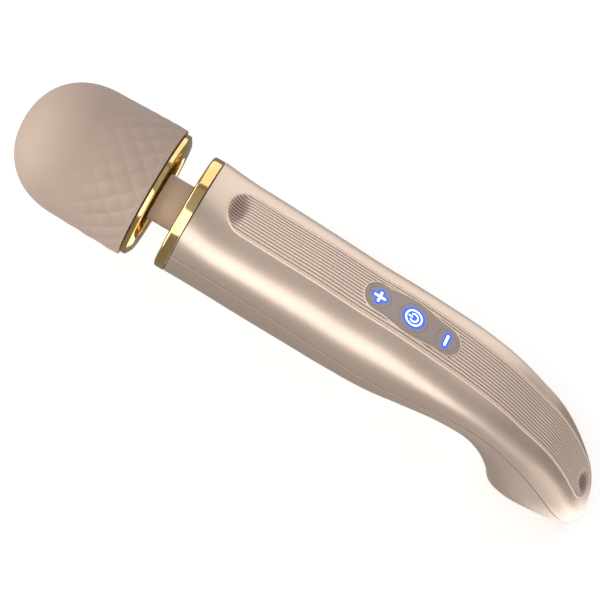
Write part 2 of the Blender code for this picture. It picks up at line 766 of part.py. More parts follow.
def oval_prism(name, grow, bottom, top, collection=None):
    """A slot-shaped block, lengthwise in X, with round ends."""
    radius = PORT_WIDTH / 2 + grow
    reach = (PORT_LENGTH - PORT_WIDTH) / 2
    turn = np.linspace(-math.pi / 2, math.pi / 2, 11)
    right = np.stack([reach + radius * np.cos(turn), radius * np.sin(turn)], axis=-1)
    shape = bmesh.new()
    corners = [shape.verts.new((*uv, bottom)) for uv in np.concatenate([right, -right])]
    face = shape.faces.new(corners)
    lifted = bmesh.ops.extrude_face_region(shape, geom=[face])["geom"]
    moved = [part for part in lifted if isinstance(part, bmesh.types.BMVert)]
    bmesh.ops.translate(shape, vec=(0, 0, top - bottom), verts=moved)
    return mesh_object(name, facing_out(shape), collection)


def charging_port(rear):
    """A flat plate let into the underside of the tail, with two contacts and two magnets."""
    face = keel_height(PORT_X) + PORT_RECESS
    back = face + PORT_DEPTH
    opening = oval_prism("port_opening", GAP, face - 6, face + 6, CUTTERS)
    opening.parent = HANDLE
    opening.location.x = PORT_X * MM
    cut(rear, opening)
    plate_body = oval_prism("charging_plate", 0, 0, PORT_DEPTH)
    magnet_reach = PORT_LENGTH / 2 - MAGNET_RADIUS - 3 * GAP
    for side, word in ((-1, "front"), (1, "rear")):
        x = side * CONTACT_PITCH / 2
        hole = rod("contact_hole", CONTACT_RADIUS + GAP, -1, PORT_DEPTH + 1, x, collection=CUTTERS)
        cut(plate_body, hole)
        pin = rod(f"charging_contact_{word}", CONTACT_RADIUS, 0, PORT_DEPTH + CONTACT_TAIL)
        place(pin, GOLD, HANDLE, (PORT_X + x, 0, face))
        magnet = rod(f"port_magnet_{word}", MAGNET_RADIUS, GAP, GAP + MAGNET_LENGTH)
        place(magnet, STEEL, HANDLE, (PORT_X + side * magnet_reach, 0, back))
    place(plate_body, DARK_PLASTIC, HANDLE, (PORT_X, 0, face))
    start = board_point(BOARD_LENGTH / 2)
    route = wire_route(
        [
            (start.x + CABLE_RADIUS + GAP, 0, start.z),
            (start.x + 8, 0, start.z - 3.0),
            (PORT_X - 24, 0, -14.0),
            (PORT_X - 10, 0, -23.0),
            (PORT_X - 2, 0, back + 7.5),
            (PORT_X, 0, back + 2.5),
        ]
    )
    tube("charging_lead", route, CABLE_RADIUS, BLACK_WIRE, HANDLE)


def move_origin_to_base():
    """Shifts the whole assembly so that the middle of its underside is the origin."""
    bpy.context.view_layer.update()
    graph = bpy.context.evaluated_depsgraph_get()
    points = []
    for obj in PARTS.objects:
        if obj.type == "EMPTY":
            continue
        evaluated = obj.evaluated_get(graph)
        data = evaluated.to_mesh()
        points += [evaluated.matrix_world @ vertex.co for vertex in data.vertices]
        evaluated.to_mesh_clear()
    low = np.min(points, axis=0)
    high = np.max(points, axis=0)
    HANDLE.location = (-(low[0] + high[0]) / 2, -(low[1] + high[1]) / 2, -low[2])


clear_scene()
PARTS = new_collection("wand_massager")
CUTTERS = new_collection("cutters")
CUTTERS.hide_render = True

SILICONE = material("beige_silicone", (0.45, 0.34, 0.28), 0.62)
GOLD = material("polished_gold", (0.86, 0.60, 0.26), 0.12, 1.0)
CHAMPAGNE = material("champagne_metallic", (0.56, 0.46, 0.38), 0.34, 0.85)
PANEL_FINISH = material("taupe_panel", (0.24, 0.20, 0.18), 0.45)
KEY_FINISH = material("taupe_key", (0.25, 0.21, 0.19), 0.42)
DARK_PLASTIC = material("dark_plastic", (0.05, 0.045, 0.04), 0.5)
BLACK_PLASTIC = material("black_plastic", (0.02, 0.02, 0.02), 0.4)
STEEL = material("bright_steel", (0.6, 0.6, 0.6), 0.3, 1.0)
BRASS = material("sintered_bronze", (0.5, 0.33, 0.14), 0.45, 1.0)
RUBBER = material("black_rubber", (0.03, 0.03, 0.03), 0.8)
BOARD_FINISH = material("green_board", (0.02, 0.16, 0.07), 0.45)
LED_FINISH = material("clear_led", (0.75, 0.8, 0.9), 0.2)
CELL_FINISH = material("blue_wrap", (0.03, 0.16, 0.4), 0.35)
RED_WIRE = material("red_wire", (0.5, 0.02, 0.02), 0.4)
BLACK_WIRE = material("black_wire", (0.02, 0.02, 0.02), 0.45)

# Turned pieces are made standing up: local Z points from the handle to the head.
AXIS_TURN = (0, -math.pi / 2, 0)
PIVOT_OFFSETS = {"neck_pivot": -NECK_PIVOT, "head_pivot": -NECK_PIVOT, "rotor_axis": -NECK_PIVOT}
HANDLE = empty("handle_frame", (0, 0, 0))
NECK = empty("neck_pivot", (-NECK_PIVOT, 0, 0), HANDLE)
HEAD = empty("head_pivot", (0, 0, 0), NECK)
ROTOR = empty("rotor_axis", (0, 0, 0), HEAD)

PANEL_Z = float(front_height(np.array([PANEL_X]), np.array([0.0]))[0])
AHEAD, BEHIND = front_height(PANEL_X + np.array([-10.0, 10.0]), np.zeros(2))
PANEL_LEAN = math.atan2(AHEAD - BEHIND, 20.0)
PANEL = empty("panel_frame", (PANEL_X, 0, PANEL_Z), HANDLE, PANEL_LEAN)
KEYS = (
    ("plus_key", -KEY_PITCH, KEY_RADIUS),
    ("power_key", 0.0, POWER_KEY_RADIUS),
    ("minus_key", KEY_PITCH, KEY_RADIUS),
)

head_pieces()
motor_pieces()
neck_pieces()
handle_collar()
front_shell = shell("front_shell", 1, CHAMPAGNE)
rear_shell = shell("rear_shell", -1, CHAMPAGNE)
control_panel(front_shell)
board_pieces(front_shell)
battery()
charging_port(rear_shell)
for made in (front_shell, rear_shell):
    made.data.shade_smooth()
    made.data.set_sharp_from_angle(angle=math.radians(35))
move_origin_to_base()
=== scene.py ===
# %% [markdown]
# # A handheld wand massager
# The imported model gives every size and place. The script puts fine surfaces over its visible
# pieces, dresses the others in their own materials, and sets up a small photo studio.

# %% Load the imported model
import json
import math

import bmesh
import bpy
import numpy as np
from mathutils import Matrix, Vector


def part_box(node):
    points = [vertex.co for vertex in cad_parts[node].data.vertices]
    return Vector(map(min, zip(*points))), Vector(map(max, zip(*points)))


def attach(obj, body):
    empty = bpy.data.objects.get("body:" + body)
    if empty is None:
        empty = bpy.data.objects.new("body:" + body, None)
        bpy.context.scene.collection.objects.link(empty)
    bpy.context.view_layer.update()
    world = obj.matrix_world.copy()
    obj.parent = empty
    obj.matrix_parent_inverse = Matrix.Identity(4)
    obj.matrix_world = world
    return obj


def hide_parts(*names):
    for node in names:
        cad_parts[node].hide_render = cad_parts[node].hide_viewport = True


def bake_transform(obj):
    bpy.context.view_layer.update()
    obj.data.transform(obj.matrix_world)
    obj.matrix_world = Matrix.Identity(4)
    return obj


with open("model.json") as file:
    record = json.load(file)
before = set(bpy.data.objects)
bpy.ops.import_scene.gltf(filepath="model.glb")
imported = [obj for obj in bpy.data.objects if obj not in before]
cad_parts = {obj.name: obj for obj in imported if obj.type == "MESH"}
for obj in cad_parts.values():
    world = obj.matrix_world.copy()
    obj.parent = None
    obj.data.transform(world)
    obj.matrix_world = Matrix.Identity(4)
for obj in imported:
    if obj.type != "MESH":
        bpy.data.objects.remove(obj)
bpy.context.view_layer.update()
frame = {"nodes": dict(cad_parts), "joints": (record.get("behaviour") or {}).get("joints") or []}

# %% [markdown]
# ## Where things are
# Sizes below are in millimetres, measured from the rear face of the handle ring on the neck's
# axis: X runs to the tail and Z out of the keys. The keys lie in a frame of their own that leans
# with the front, and the joints of the keys give its direction.

# %% Origins
MM = 0.001
HANDLE_LENGTH = 170.4
ring_low, ring_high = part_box("handle_ring")
ORIGIN = np.array([ring_high.x, (ring_low.y + ring_high.y) / 2, (ring_low.z + ring_high.z) / 2])
press = next(joint for joint in frame["joints"] if joint["name"] == "power_press")
PANEL_LEAN = math.atan2(-press["axis"][0], -press["axis"][2])


def height_of(x):
    """Distance of a world x in front of the handle ring's rear face, towards the head, in mm."""
    return (ORIGIN[0] - x) / MM


def add_object(name, data):
    obj = bpy.data.objects.new(name, data)
    bpy.context.scene.collection.objects.link(obj)
    return obj


def stand(obj, place, axes):
    """Puts an object at a place with its own X, Y and Z along three axes."""
    turn = Matrix(np.stack(axes, axis=-1).tolist()).to_4x4()
    obj.matrix_world = Matrix.Translation(place) @ turn


def unit(vectors):
    return vectors / np.linalg.norm(vectors, axis=-1, keepdims=True)


def joined(*parts):
    """Points from arrays of their coordinates."""
    return np.stack(parts, axis=-1)


def around(count):
    return np.linspace(0, 2 * math.pi, count, endpoint=False)


def box_mm(node):
    """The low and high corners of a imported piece, in mm from the origin."""
    return [(np.array(corner) - ORIGIN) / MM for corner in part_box(node)]


HEAD_TIP = height_of(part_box("head_cap")[0].x)
HEAD_BASE = height_of(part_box("head_cap")[1].x)
RING_TOP = height_of(ring_low.x)
HEAD_RING_TOP, HEAD_RING_BASE = (height_of(corner.x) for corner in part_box("head_ring"))
NECK_PIVOT = (RING_TOP + HEAD_RING_BASE) / 2
print("head", round(HEAD_BASE, 2), "to", round(HEAD_TIP, 2), "pivot", round(NECK_PIVOT, 2))

# %% [markdown]
# ## Camera
# The object is seen from above its keys, turned so that the head points to the upper left. The
# camera's own axes are found from the viewing angle, a small swing and the roll, and written
# straight into its matrix.

# %% Camera
VIEW_ANGLE = math.radians(38)  # from straight above the keys, round the neck's axis
VIEW_SWING = math.radians(-1.4)
VIEW_ROLL = math.radians(30.1)
VIEW_DISTANCE = 0.700
FOCAL_LENGTH = 121.5
SENSOR_WIDTH = 36.0
VIEW_CENTRE = (46.0, -5.28, -4.13)  # the middle of the visible outline, in mm
TARGET = ORIGIN + np.array(VIEW_CENTRE) * MM


def turned_pair(first, second, angle):
    """Two unit vectors turned towards each other's place by an angle in their plane."""
    cosine, sine = math.cos(angle), math.sin(angle)
    return cosine * first + sine * second, cosine * second - sine * first


AXIS_X, AXIS_Y, AXIS_Z = np.eye(3)
across_axis, towards_camera = turned_pair(AXIS_Y, AXIS_Z, VIEW_ANGLE)
back, along_axis = turned_pair(towards_camera, AXIS_X, VIEW_SWING)
right, up = turned_pair(along_axis, across_axis, VIEW_ROLL)
lens = bpy.data.cameras.new("camera")
lens.lens = FOCAL_LENGTH
lens.sensor_width = SENSOR_WIDTH
camera = add_object("camera", lens)
stand(camera, TARGET + VIEW_DISTANCE * back, (right, up, back))
bpy.context.scene.camera = camera
bpy.context.scene.view_settings.view_transform = "Standard"
print("camera right", right.round(3), "up", up.round(3))

# %% [markdown]
# ## Studio
# The metal mirrors the lights as two long soft bands with a darker one between, where the camera
# stands, so two long softboxes lie along the object. Small ones light the head and the tail, faint
# fills lift the dark band, and one from below stands for the bounce of the floor.

# %% Lights
SOFTBOXES = (
    # name, angle round X from the camera, distance, length, width, watts, shift along X
    ("near_softbox", 22, 1.0, 1.6, 0.94, 9.4, -0.3),
    ("far_softbox", -98, 1.0, 1.3, 1.55, 6.6, 0.0),
    ("head_softbox", 72, 0.8, 0.6, 0.6, 4.2, -1.6),
    ("dome_softbox", -50, 0.9, 0.6, 0.6, 3.0, -2.5),
    ("tail_softbox", 85, 1.0, 1.2, 1.2, 2.2, 1.5),
    ("front_fill", -28, 1.1, 1.6, 0.9, 0.7, 0.0),
    ("curl_fill", 10, 1.1, 1.0, 1.0, 0.7, 1.4),
    ("bounce_softbox", 150, 0.8, 0.8, 0.8, 3.2, 1.1),
)
WORLD_COLOUR = (1.0, 0.97, 0.94, 1.0)
WORLD_STRENGTH = 0.24


def softbox(name, angle, reach, length, width, power, aside):
    """A rectangle of light at an angle round the X axis from the camera's direction."""
    light = bpy.data.lights.new(name, "AREA")
    light.shape = "RECTANGLE"
    light.size = length
    light.size_y = width
    light.energy = power
    turn = math.radians(angle)
    direction = math.cos(turn) * towards_camera - math.sin(turn) * across_axis
    direction = Vector(direction + aside * AXIS_X).normalized()
    sideways = Vector(AXIS_X - direction * direction.x).normalized()
    axes = (sideways, direction.cross(sideways), direction)
    stand(add_object(name, light), Vector(TARGET) + reach * direction, axes)


for values in SOFTBOXES:
    softbox(*values)
world = bpy.data.worlds.new("studio")
world.use_nodes = True
background = world.node_tree.nodes["Background"]
background.inputs["Color"].default_value = WORLD_COLOUR
background.inputs["Strength"].default_value = WORLD_STRENGTH
bpy.context.scene.world = world
print("lights", [name for name, *_ in SOFTBOXES])

# %% [markdown]
# ## A small language for materials
# A finish is one material. `node` adds any node from its kind, its sockets' values and its
# settings. A `Number` is a socket that arithmetic can be done on, so a pattern reads as a sum.


# %% Number and Finish
def maths(operation, swapped=False):
    """A method that adds one Math node to a number's finish."""

    def method(self, *others):
        values = (*others, self) if swapped else (self, *others)
        return self.finish.node("Math", dict(enumerate(values)), operation=operation)

    return method


class Number:
    """A value that varies over the surface. Arithmetic on it adds Math nodes."""

    def __init__(self, finish, socket):
        self.finish = finish
        self.socket = socket

    __add__ = __radd__ = maths("ADD")
    __sub__ = maths("SUBTRACT")
    __rsub__ = maths("SUBTRACT", swapped=True)
    __mul__ = __rmul__ = maths("MULTIPLY")
    __pow__ = maths("POWER")
    __abs__ = maths("ABSOLUTE")
    least = maths("MINIMUM")
    most = maths("MAXIMUM")
    wave = maths("COSINE")

    def rise(self, low, high):
        """0 below low, 1 above high, and a smooth step between."""
        values = {0: self, 1: low, 2: high}
        return self.finish.node("MapRange", values, interpolation_type="SMOOTHSTEP")


class Finish:
    """One material, with the nodes that make its pattern."""

    def __init__(self, name, **constants):
        self.material = bpy.data.materials.new(name)
        self.material.use_nodes = True
        self.tree = self.material.node_tree
        self.shader = self.tree.nodes["Principled BSDF"]
        self.shade(**constants)

    def feed(self, socket, value):
        if isinstance(value, Number):
            self.tree.links.new(value.socket, socket)
        elif isinstance(value, tuple) and len(value) == 3 and socket.type == "RGBA":
            socket.default_value = (*value, 1.0)
        else:
            socket.default_value = value

    def node(self, kind, values, output=0, **settings):
        made = self.tree.nodes.new("ShaderNode" + kind)
        for name, value in settings.items():
            setattr(made, name, value)
        for key, value in values.items():
            self.feed(made.inputs[key], value)
        return Number(self, made.outputs[output])

    def place(self, origin=(0, 0, 0), lean=0.0, stretch=(1, 1, 1)):
        """Millimetres from a point, in axes that lean about Y and may be stretched."""
        values = {
            "Vector": self.node("TexCoord", {}, output="Object"),
            "Location": tuple(ORIGIN + np.array(origin) * MM),
            "Rotation": (0, lean, 0),
            "Scale": tuple(MM * share for share in stretch),
        }
        return self.node("Mapping", values, vector_type="TEXTURE")

    def axes(self, vector):
        return [self.node("SeparateXYZ", {0: vector}, output=axis) for axis in range(3)]

    def noise(self, vector, scale, detail=3.0):
        return self.node("TexNoise", {"Vector": vector, "Scale": scale, "Detail": detail})

    def mix(self, first, second, share):
        return self.node("Mix", {0: share, 6: first, 7: second}, output=2, data_type="RGBA")

    def bump(self, height, depth, strength=1.0):
        """Relief of a height that runs from 0 to 1, for a depth in millimetres."""
        values = {"Strength": strength, "Distance": depth * MM, "Height": height}
        return self.node("Bump", values)

    def shade(self, **values):
        """Feeds the shader's sockets, each named in lower case, and returns the material."""
        for key, value in values.items():
            socket = key.replace("_", " ").title().replace("Ior", "IOR")
            self.feed(self.shader.inputs[socket], value)
        return self.material


# %% [markdown]
# ## Silicone
# The head and the neck are cast silicone: matt, slightly sheened, with a fine dusty grain and
# faint clouding. Two noises are enough, one for the clouds and one for the grain.


# %% Silicone
def silicone(name, light, dark, grain=2.4):
    finish = Finish(name, specular_ior_level=0.35, sheen_weight=0.12, sheen_roughness=0.5)
    at = finish.place()
    clouds = finish.noise(at, 0.05).rise(0.3, 0.7)
    dust = finish.noise(at, grain, 2.0)
    colour = finish.mix(dark, light, clouds * 0.5 + dust * 0.5)
    return finish.shade(
        base_color=colour,
        roughness=0.56 + 0.14 * dust,
        normal=finish.bump(dust, 0.05, 0.6),
    )


SILICONE = silicone("head_silicone", (0.420, 0.314, 0.256), (0.362, 0.268, 0.217))
# Painted light: the neck is the head's silicone in much lighter tones.
NECK_SILICONE_LIT = silicone("neck_silicone_lit", (0.860, 0.635, 0.460), (0.760, 0.550, 0.395), 3.0)

# %% [markdown]
# ## Lacquer, plating and the ribbed inlay
# The handle is sprayed champagne lacquer, whose flakes show as fine sparkle under a soft gloss. The
# rear shell has the same lacquer in darker tones, a painted shade. The rings are plated gold. The
# inlay is satin lacquer with painted shade in its grooves and finger dimples, so the piece carries
# an attribute of that shade, which its finish reads.

# %% Lacquer and gold
FLAKE_SCALE = 5.0  # noise cells in a millimetre
CLOUD_SCALE = 0.03


def lacquer(name, light, dark, rough=0.34, metallic=0.78):
    finish = Finish(name, coat_weight=0.18, coat_roughness=0.22)
    at = finish.place()
    flakes = finish.noise(at, FLAKE_SCALE, 2.0).rise(0.35, 0.65)
    clouds = finish.noise(at, CLOUD_SCALE)
    return finish.shade(
        base_color=finish.mix(dark, light, flakes * 0.7 + clouds * 0.3),
        roughness=rough + 0.10 * flakes,
        metallic=metallic + 0.08 * clouds,
        normal=finish.bump(flakes, 0.012, 0.5),
    )


def gold(name):
    finish = Finish(name)
    at = finish.place(stretch=(0.15, 1, 1))
    wipe = finish.noise(at, 1.2, 4.0)
    smudge = finish.noise(finish.place(), 0.12).rise(0.4, 0.8)
    return finish.shade(
        base_color=finish.mix((0.86, 0.60, 0.24), (0.96, 0.76, 0.40), smudge),
        roughness=0.07 + 0.06 * wipe + 0.05 * smudge,
        metallic=1.0,
        normal=finish.bump(wipe, 0.004, 0.3),
    )


def ribbed_lacquer(name):
    finish = Finish(name, coat_weight=0.08, coat_roughness=0.3)
    at = finish.place()
    flakes = finish.noise(at, FLAKE_SCALE, 2.0)
    hollow = finish.node("Attribute", {}, output="Fac", attribute_name="hollow")
    light = finish.mix((0.84, 0.66, 0.55), (0.90, 0.72, 0.605), flakes)
    return finish.shade(
        # Painted shade: the colour goes dark brown in the grooves and the finger dimples.
        base_color=finish.mix(light, (0.16, 0.105, 0.080), hollow),
        roughness=0.42 + 0.12 * flakes,
        metallic=0.30,
        normal=finish.bump(flakes, 0.01, 0.4),
    )


CHAMPAGNE = lacquer("champagne_front", (0.80, 0.645, 0.535), (0.70, 0.56, 0.46))
# Painted shade: the rear shell is the front's lacquer in darker tones.
CHAMPAGNE_REAR_SHADED = lacquer("champagne_rear_shaded", (0.73, 0.58, 0.48), (0.65, 0.515, 0.42), 0.36, 0.76)
RIBBED = ribbed_lacquer("ribbed_champagne")
GOLD = gold("plated_gold")

# %% [markdown]
# ## Panel and its lights
# The panel and the keys are one satin taupe film, lit from behind. Each symbol is a white light
# guide, and blue leaks into the film round it, fading with the distance from its middle line.

# %% Panel finish
PANEL_X = 0.4842 * HANDLE_LENGTH
KEY_PITCH = 13.7
PLUS_ARM = 2.0
MINUS_ARM = 2.1
POWER_RING = 3.0
LEAK = (0.8, 2.0)  # from a symbol's middle line to where its light fades and ends
FILM_DARK, FILM_LIGHT = (0.320, 0.250, 0.225), (0.370, 0.295, 0.265)
LIT_FILM = (0.01, 0.03, 0.10)
BLUE_GLOW = (0.015, 0.125, 0.95)


def beyond(coordinate, reach):
    """How far a coordinate is past a reach on either side of zero, and 0 inside it."""
    return (abs(coordinate) - reach).most(0.0)


def from_bar(u, v, long_u, long_v):
    """Distance from a bar of those half lengths in the panel's plane."""
    return (beyond(u, long_u) ** 2.0 + beyond(v, long_v) ** 2.0) ** 0.5


def panel_film(name):
    finish = Finish(name, coat_weight=0.25, coat_roughness=0.25, emission_strength=1.0)
    at = finish.place((PANEL_X, 0, PANEL_Z), PANEL_LEAN)
    u, v, _ = finish.axes(at)
    plus_u = u + KEY_PITCH
    cross = from_bar(plus_u, v, PLUS_ARM, 0.0).least(from_bar(plus_u, v, 0.0, PLUS_ARM))
    bar = from_bar(u - KEY_PITCH, v, 0.0, MINUS_ARM)
    ring = (u**2.0 + v**2.0) ** 0.5 - POWER_RING
    nearest = cross.least(bar).least(ring)
    leak = 1.0 - nearest.rise(*LEAK)
    grain = finish.noise(at, 4.0)
    film = finish.mix(FILM_DARK, FILM_LIGHT, grain)
    return finish.shade(
        base_color=finish.mix(film, LIT_FILM, leak),
        roughness=0.38 + 0.08 * grain,
        emission_color=finish.mix((0.0, 0.0, 0.0), BLUE_GLOW, leak),
        normal=finish.bump(grain, 0.01, 0.4),
    )


def light_guide(name):
    finish = Finish(name, emission_strength=2.6, roughness=0.3)
    grain = finish.noise(finish.place(), 3.0)
    return finish.shade(
        base_color=(0.8, 0.85, 0.9),
        emission_color=finish.mix((0.72, 0.84, 1.0), (0.95, 0.98, 1.0), grain),
    )


# %% [markdown]
# ## Small inner pieces
# Motor, board, battery and wires are hidden, but an opened model shows them. Each finish is two
# tones, a grain and a little relief, so one function and a table make them all.


# %% Grained finishes
def grained(name, dark, light, rough, metallic=0.0, scale=2.0, stretch=1, relief=0.02, glow=0.0):
    """Two tones in an even grain, drawn out along X where a piece was turned or rolled."""
    finish = Finish(name, emission_color=light, emission_strength=glow)
    grain = finish.noise(finish.place(stretch=(stretch, 1, 1)), scale, 4.0)
    wear = finish.noise(finish.place(), 0.25).rise(0.35, 0.7)
    return finish.shade(
        base_color=finish.mix(dark, light, grain * 0.6 + wear * 0.4),
        roughness=rough + 0.12 * grain,
        metallic=metallic,
        normal=finish.bump(grain, relief, 0.5),
    )


TRACK_PITCHES = (2.6, 1.9)
PALE_END = (4.0, 3.6)  # from a cell's end to where its pale wrap ends and is full


def printed_board(name):
    """Green lacquer over thin tracks on two grids, with tinned pads where they cross."""
    finish = Finish(name)
    at = finish.place((PANEL_X, 0, PANEL_Z), PANEL_LEAN)
    u, v, _ = finish.axes(at)
    line_u = (u * (2 * math.pi / TRACK_PITCHES[0])).wave().rise(0.90, 0.97)
    line_v = (v * (2 * math.pi / TRACK_PITCHES[1])).wave().rise(0.90, 0.97)
    patch = finish.noise(at, 0.22, 0.0).rise(0.48, 0.52)
    tracks = line_u * patch + line_v * (1.0 - patch)
    pads = line_u * line_v
    lacquered = finish.mix((0.012, 0.10, 0.045), (0.03, 0.22, 0.09), tracks)
    return finish.shade(
        base_color=finish.mix(lacquered, (0.75, 0.72, 0.66), pads),
        roughness=0.42 - 0.12 * pads,
        metallic=pads * 0.9,
        normal=finish.bump(tracks, 0.03),
    )


def cell_wrap(name):
    """Shrink film round a cell: a blue body, pale ends and fine creases along it."""
    finish = Finish(name, coat_weight=0.4, coat_roughness=0.15)
    low, high = box_mm("battery_cell")
    half = (high[0] - low[0]) / 2
    x, _, _ = finish.axes(finish.place(((low[0] + high[0]) / 2, 0, 0)))
    ends = abs(x).rise(half - PALE_END[0], half - PALE_END[1])
    creases = finish.noise(finish.place(stretch=(6, 1, 1)), 1.4, 3.0)
    return finish.shade(
        base_color=finish.mix((0.03, 0.16, 0.42), (0.55, 0.56, 0.58), ends),
        roughness=0.30 + 0.12 * creases,
        normal=finish.bump(creases, 0.05, 0.6),
    )


GRAINED = {
    # dark and light colour, roughness, metallic, scale, stretch, relief
    "dark_plastic": ((0.035, 0.028, 0.022), (0.060, 0.048, 0.038), 0.45, 0, 4),
    "black_plastic": ((0.012, 0.012, 0.013), (0.03, 0.03, 0.032), 0.38, 0, 5),
    "bright_steel": ((0.50, 0.50, 0.49), (0.68, 0.67, 0.65), 0.20, 1, 3, 8, 0.01),
    "zinc_steel": ((0.42, 0.44, 0.47), (0.62, 0.64, 0.66), 0.34, 1, 1.6),
    "sintered_bronze": ((0.34, 0.20, 0.08), (0.56, 0.38, 0.18), 0.42, 1, 7, 1, 0.05),
    "black_rubber": ((0.012, 0.012, 0.012), (0.035, 0.034, 0.032), 0.72, 0, 3, 1, 0.06),
    "clear_led": ((0.62, 0.70, 0.80), (0.85, 0.90, 0.96), 0.12, 0, 6),
    "red_wire": ((0.34, 0.010, 0.010), (0.52, 0.025, 0.02), 0.36),
    "black_wire": ((0.010, 0.010, 0.011), (0.03, 0.03, 0.032), 0.40),
}
INNER = {name: grained(name, *values) for name, values in GRAINED.items()}
CONTACT_GOLD = gold("contact_gold")
CELL = cell_wrap("cell_wrap")
FLOOR = grained("pale_floor", (0.86,) * 3, (0.90,) * 3, 0.80, scale=0.02, relief=0.0, glow=0.40)

# %% [markdown]
# ## From a grid of points to a piece
# Every shape below is a grid: rows of points, each row closed on itself. One function joins
# neighbours with four-sided faces and welds the points that fall together at a pole or an edge.


# %% Grid to mesh
WELD_DISTANCE = 2e-6


def skin(name, grid, closed_rows=False, **attributes):
    """A closed mesh over a grid of points in mm. Columns always wrap; rows wrap where asked."""
    rows, columns = grid.shape[:2]
    index = np.arange(rows * columns).reshape(rows, columns)
    index = np.concatenate([index, index[:, :1]], axis=1)
    if closed_rows:
        index = np.concatenate([index, index[:1]], axis=0)
    corners = [index[:-1, :-1], index[1:, :-1], index[1:, 1:], index[:-1, 1:]]
    faces = np.stack(corners, axis=-1).reshape(-1, 4)
    points = ORIGIN + grid.reshape(-1, 3) * MM
    data = bpy.data.meshes.new(name)
    data.from_pydata(points.tolist(), [], faces.tolist())
    for key, values in attributes.items():
        layer = data.attributes.new(key, "FLOAT", "POINT")
        layer.data.foreach_set("value", values.reshape(-1).astype(np.float32))
    weld(data)
    return data


def weld(data):
    """Merges points that fall together, drops flattened faces and turns the rest outwards."""
    shape = bmesh.new()
    shape.from_mesh(data)
    bmesh.ops.remove_doubles(shape, verts=shape.verts, dist=WELD_DISTANCE)
    bmesh.ops.dissolve_degenerate(shape, edges=shape.edges, dist=WELD_DISTANCE / 4)
    bmesh.ops.recalc_face_normals(shape, faces=shape.faces)
    shape.to_mesh(data)
    shape.free()


def piece(name, data, finish, body=None, replaced=(), crease=35):
    """A finished piece: shaded, dressed, riding on its body and standing for its CAD nodes."""
    obj = add_object(name, data)
    data.materials.append(finish)
    data.shade_smooth()
    data.set_sharp_from_angle(angle=math.radians(crease))
    if body:
        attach(obj, body)
    if replaced:
        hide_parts(*replaced)
    open_edges = len(data.edges) * 2 - sum(len(face.vertices) for face in data.polygons)
    print(name, len(data.polygons), "faces, open edges", open_edges)
    return obj


def carve(data, grid):
    """The mesh less the closed block over a grid, by an exact Boolean."""
    body, tool = add_object("body", data), add_object("tool", skin("tool", grid))
    modifier = body.modifiers.new("carve", "BOOLEAN")
    modifier.operation = "DIFFERENCE"
    modifier.solver = "EXACT"
    modifier.object = tool
    bpy.context.view_layer.update()
    evaluated = body.evaluated_get(bpy.context.evaluated_depsgraph_get())
    carved = bpy.data.meshes.new_from_object(evaluated)
    carved.name = data.name
    for obj in (body, tool):
        bpy.data.objects.remove(obj)
    return carved


# %% [markdown]
# ## The form of the handle
# The handle is a row of sections along the parting seam, and a smooth curve through them gives the
# values between, which is how a designer lofts a body from a few sections.

# %% Handle form
GAP = 0.3
HANDLE_RADIUS = 21.5
WALL = 2.2
TAIL_ROUNDING = 14.0
STATIONS = (
    # distance along, seam z, half width, front and rear depth, lean, front and rear power
    (0, 1.5, 21.4, 17.1, 22.6, 0, 2.3, 2.1),
    (12, 1.1, 21.4, 14.9, 22.3, 0, 2.3, 2.1),
    (26, 0.3, 21.3, 14.8, 21.4, 0, 2.35, 2.2),
    (50, -1.9, 21.2, 16.1, 19.3, 0, 2.35, 2.2),
    (66, -3.3, 21.2, 16.2, 17.6, 0, 2.4, 2.2),
    (81, -4.1, 21, 16.3, 15.5, 0, 2.55, 2.2),
    (95, -3.4, 20.4, 13.8, 12.8, 0, 2.8, 2.2),
    (109, -2.4, 19.5, 10.4, 12.2, 3, 3.1, 2.2),
    (124, -4.1, 18.2, 8.2, 13, 17, 3.6, 2.4),
    (133, -7.4, 17.5, 8.2, 14.9, 27, 3.8, 2.7),
    (142, -11.7, 16.8, 9, 18.6, 33, 3.8, 3),
    (151, -18, 15.5, 9.3, 22.2, 39, 3.6, 3.2),
    (156, -22.3, 14.6, 9.2, 20.2, 41, 3.5, 3.2),
    (161.5, -27.4, 13.4, 9, 14.5, 43, 3.4, 3),
    (167, -32.8, 12.4, 8.6, 8, 45, 3.3, 2.8),
    (171, -36.8, 11.6, 8.2, 3.6, 46, 3.2, 2.6),
)


def smooth_curve(knots, values, at):
    """A cubic through every knot, with the slope at each taken from its neighbours."""
    slopes = np.gradient(values, knots)
    span = np.clip(np.searchsorted(knots, at) - 1, 0, len(knots) - 2)
    width = knots[span + 1] - knots[span]
    t = (at - knots[span]) / width
    start = (1 + 2 * t) * (1 - t) ** 2 * values[span] + t * (1 - t) ** 2 * width * slopes[span]
    end = t**2 * (3 - 2 * t) * values[span + 1] + t**2 * (t - 1) * width * slopes[span + 1]
    return start + end


def form(along):
    """Seam x and z, half width, both depths, lean and both powers, at a share from 0 to 1."""
    stops, *columns = np.array(STATIONS, float).T
    seam_z, half, front, rear, lean, *powers = (
        smooth_curve(stops / stops[-1], column, along) for column in columns
    )
    return along * HANDLE_LENGTH, seam_z, half, front, rear, np.radians(lean), *powers


def closing(along, inset=0.0):
    """1 along most of the handle, then the arch (1 - share^2.5)^0.4 down to 0 at the tail."""
    left = (1 - along) * HANDLE_LENGTH - inset
    share = 1 - np.clip(left / TAIL_ROUNDING, 0, 1)
    return (1 - share**2.5) ** 0.4


def leaning(x, y, z, lean, height):
    """A point at a height over the seam, along its section's leaning axis."""
    return joined(x + height * np.sin(lean), y + 0 * x, z + height * np.cos(lean))


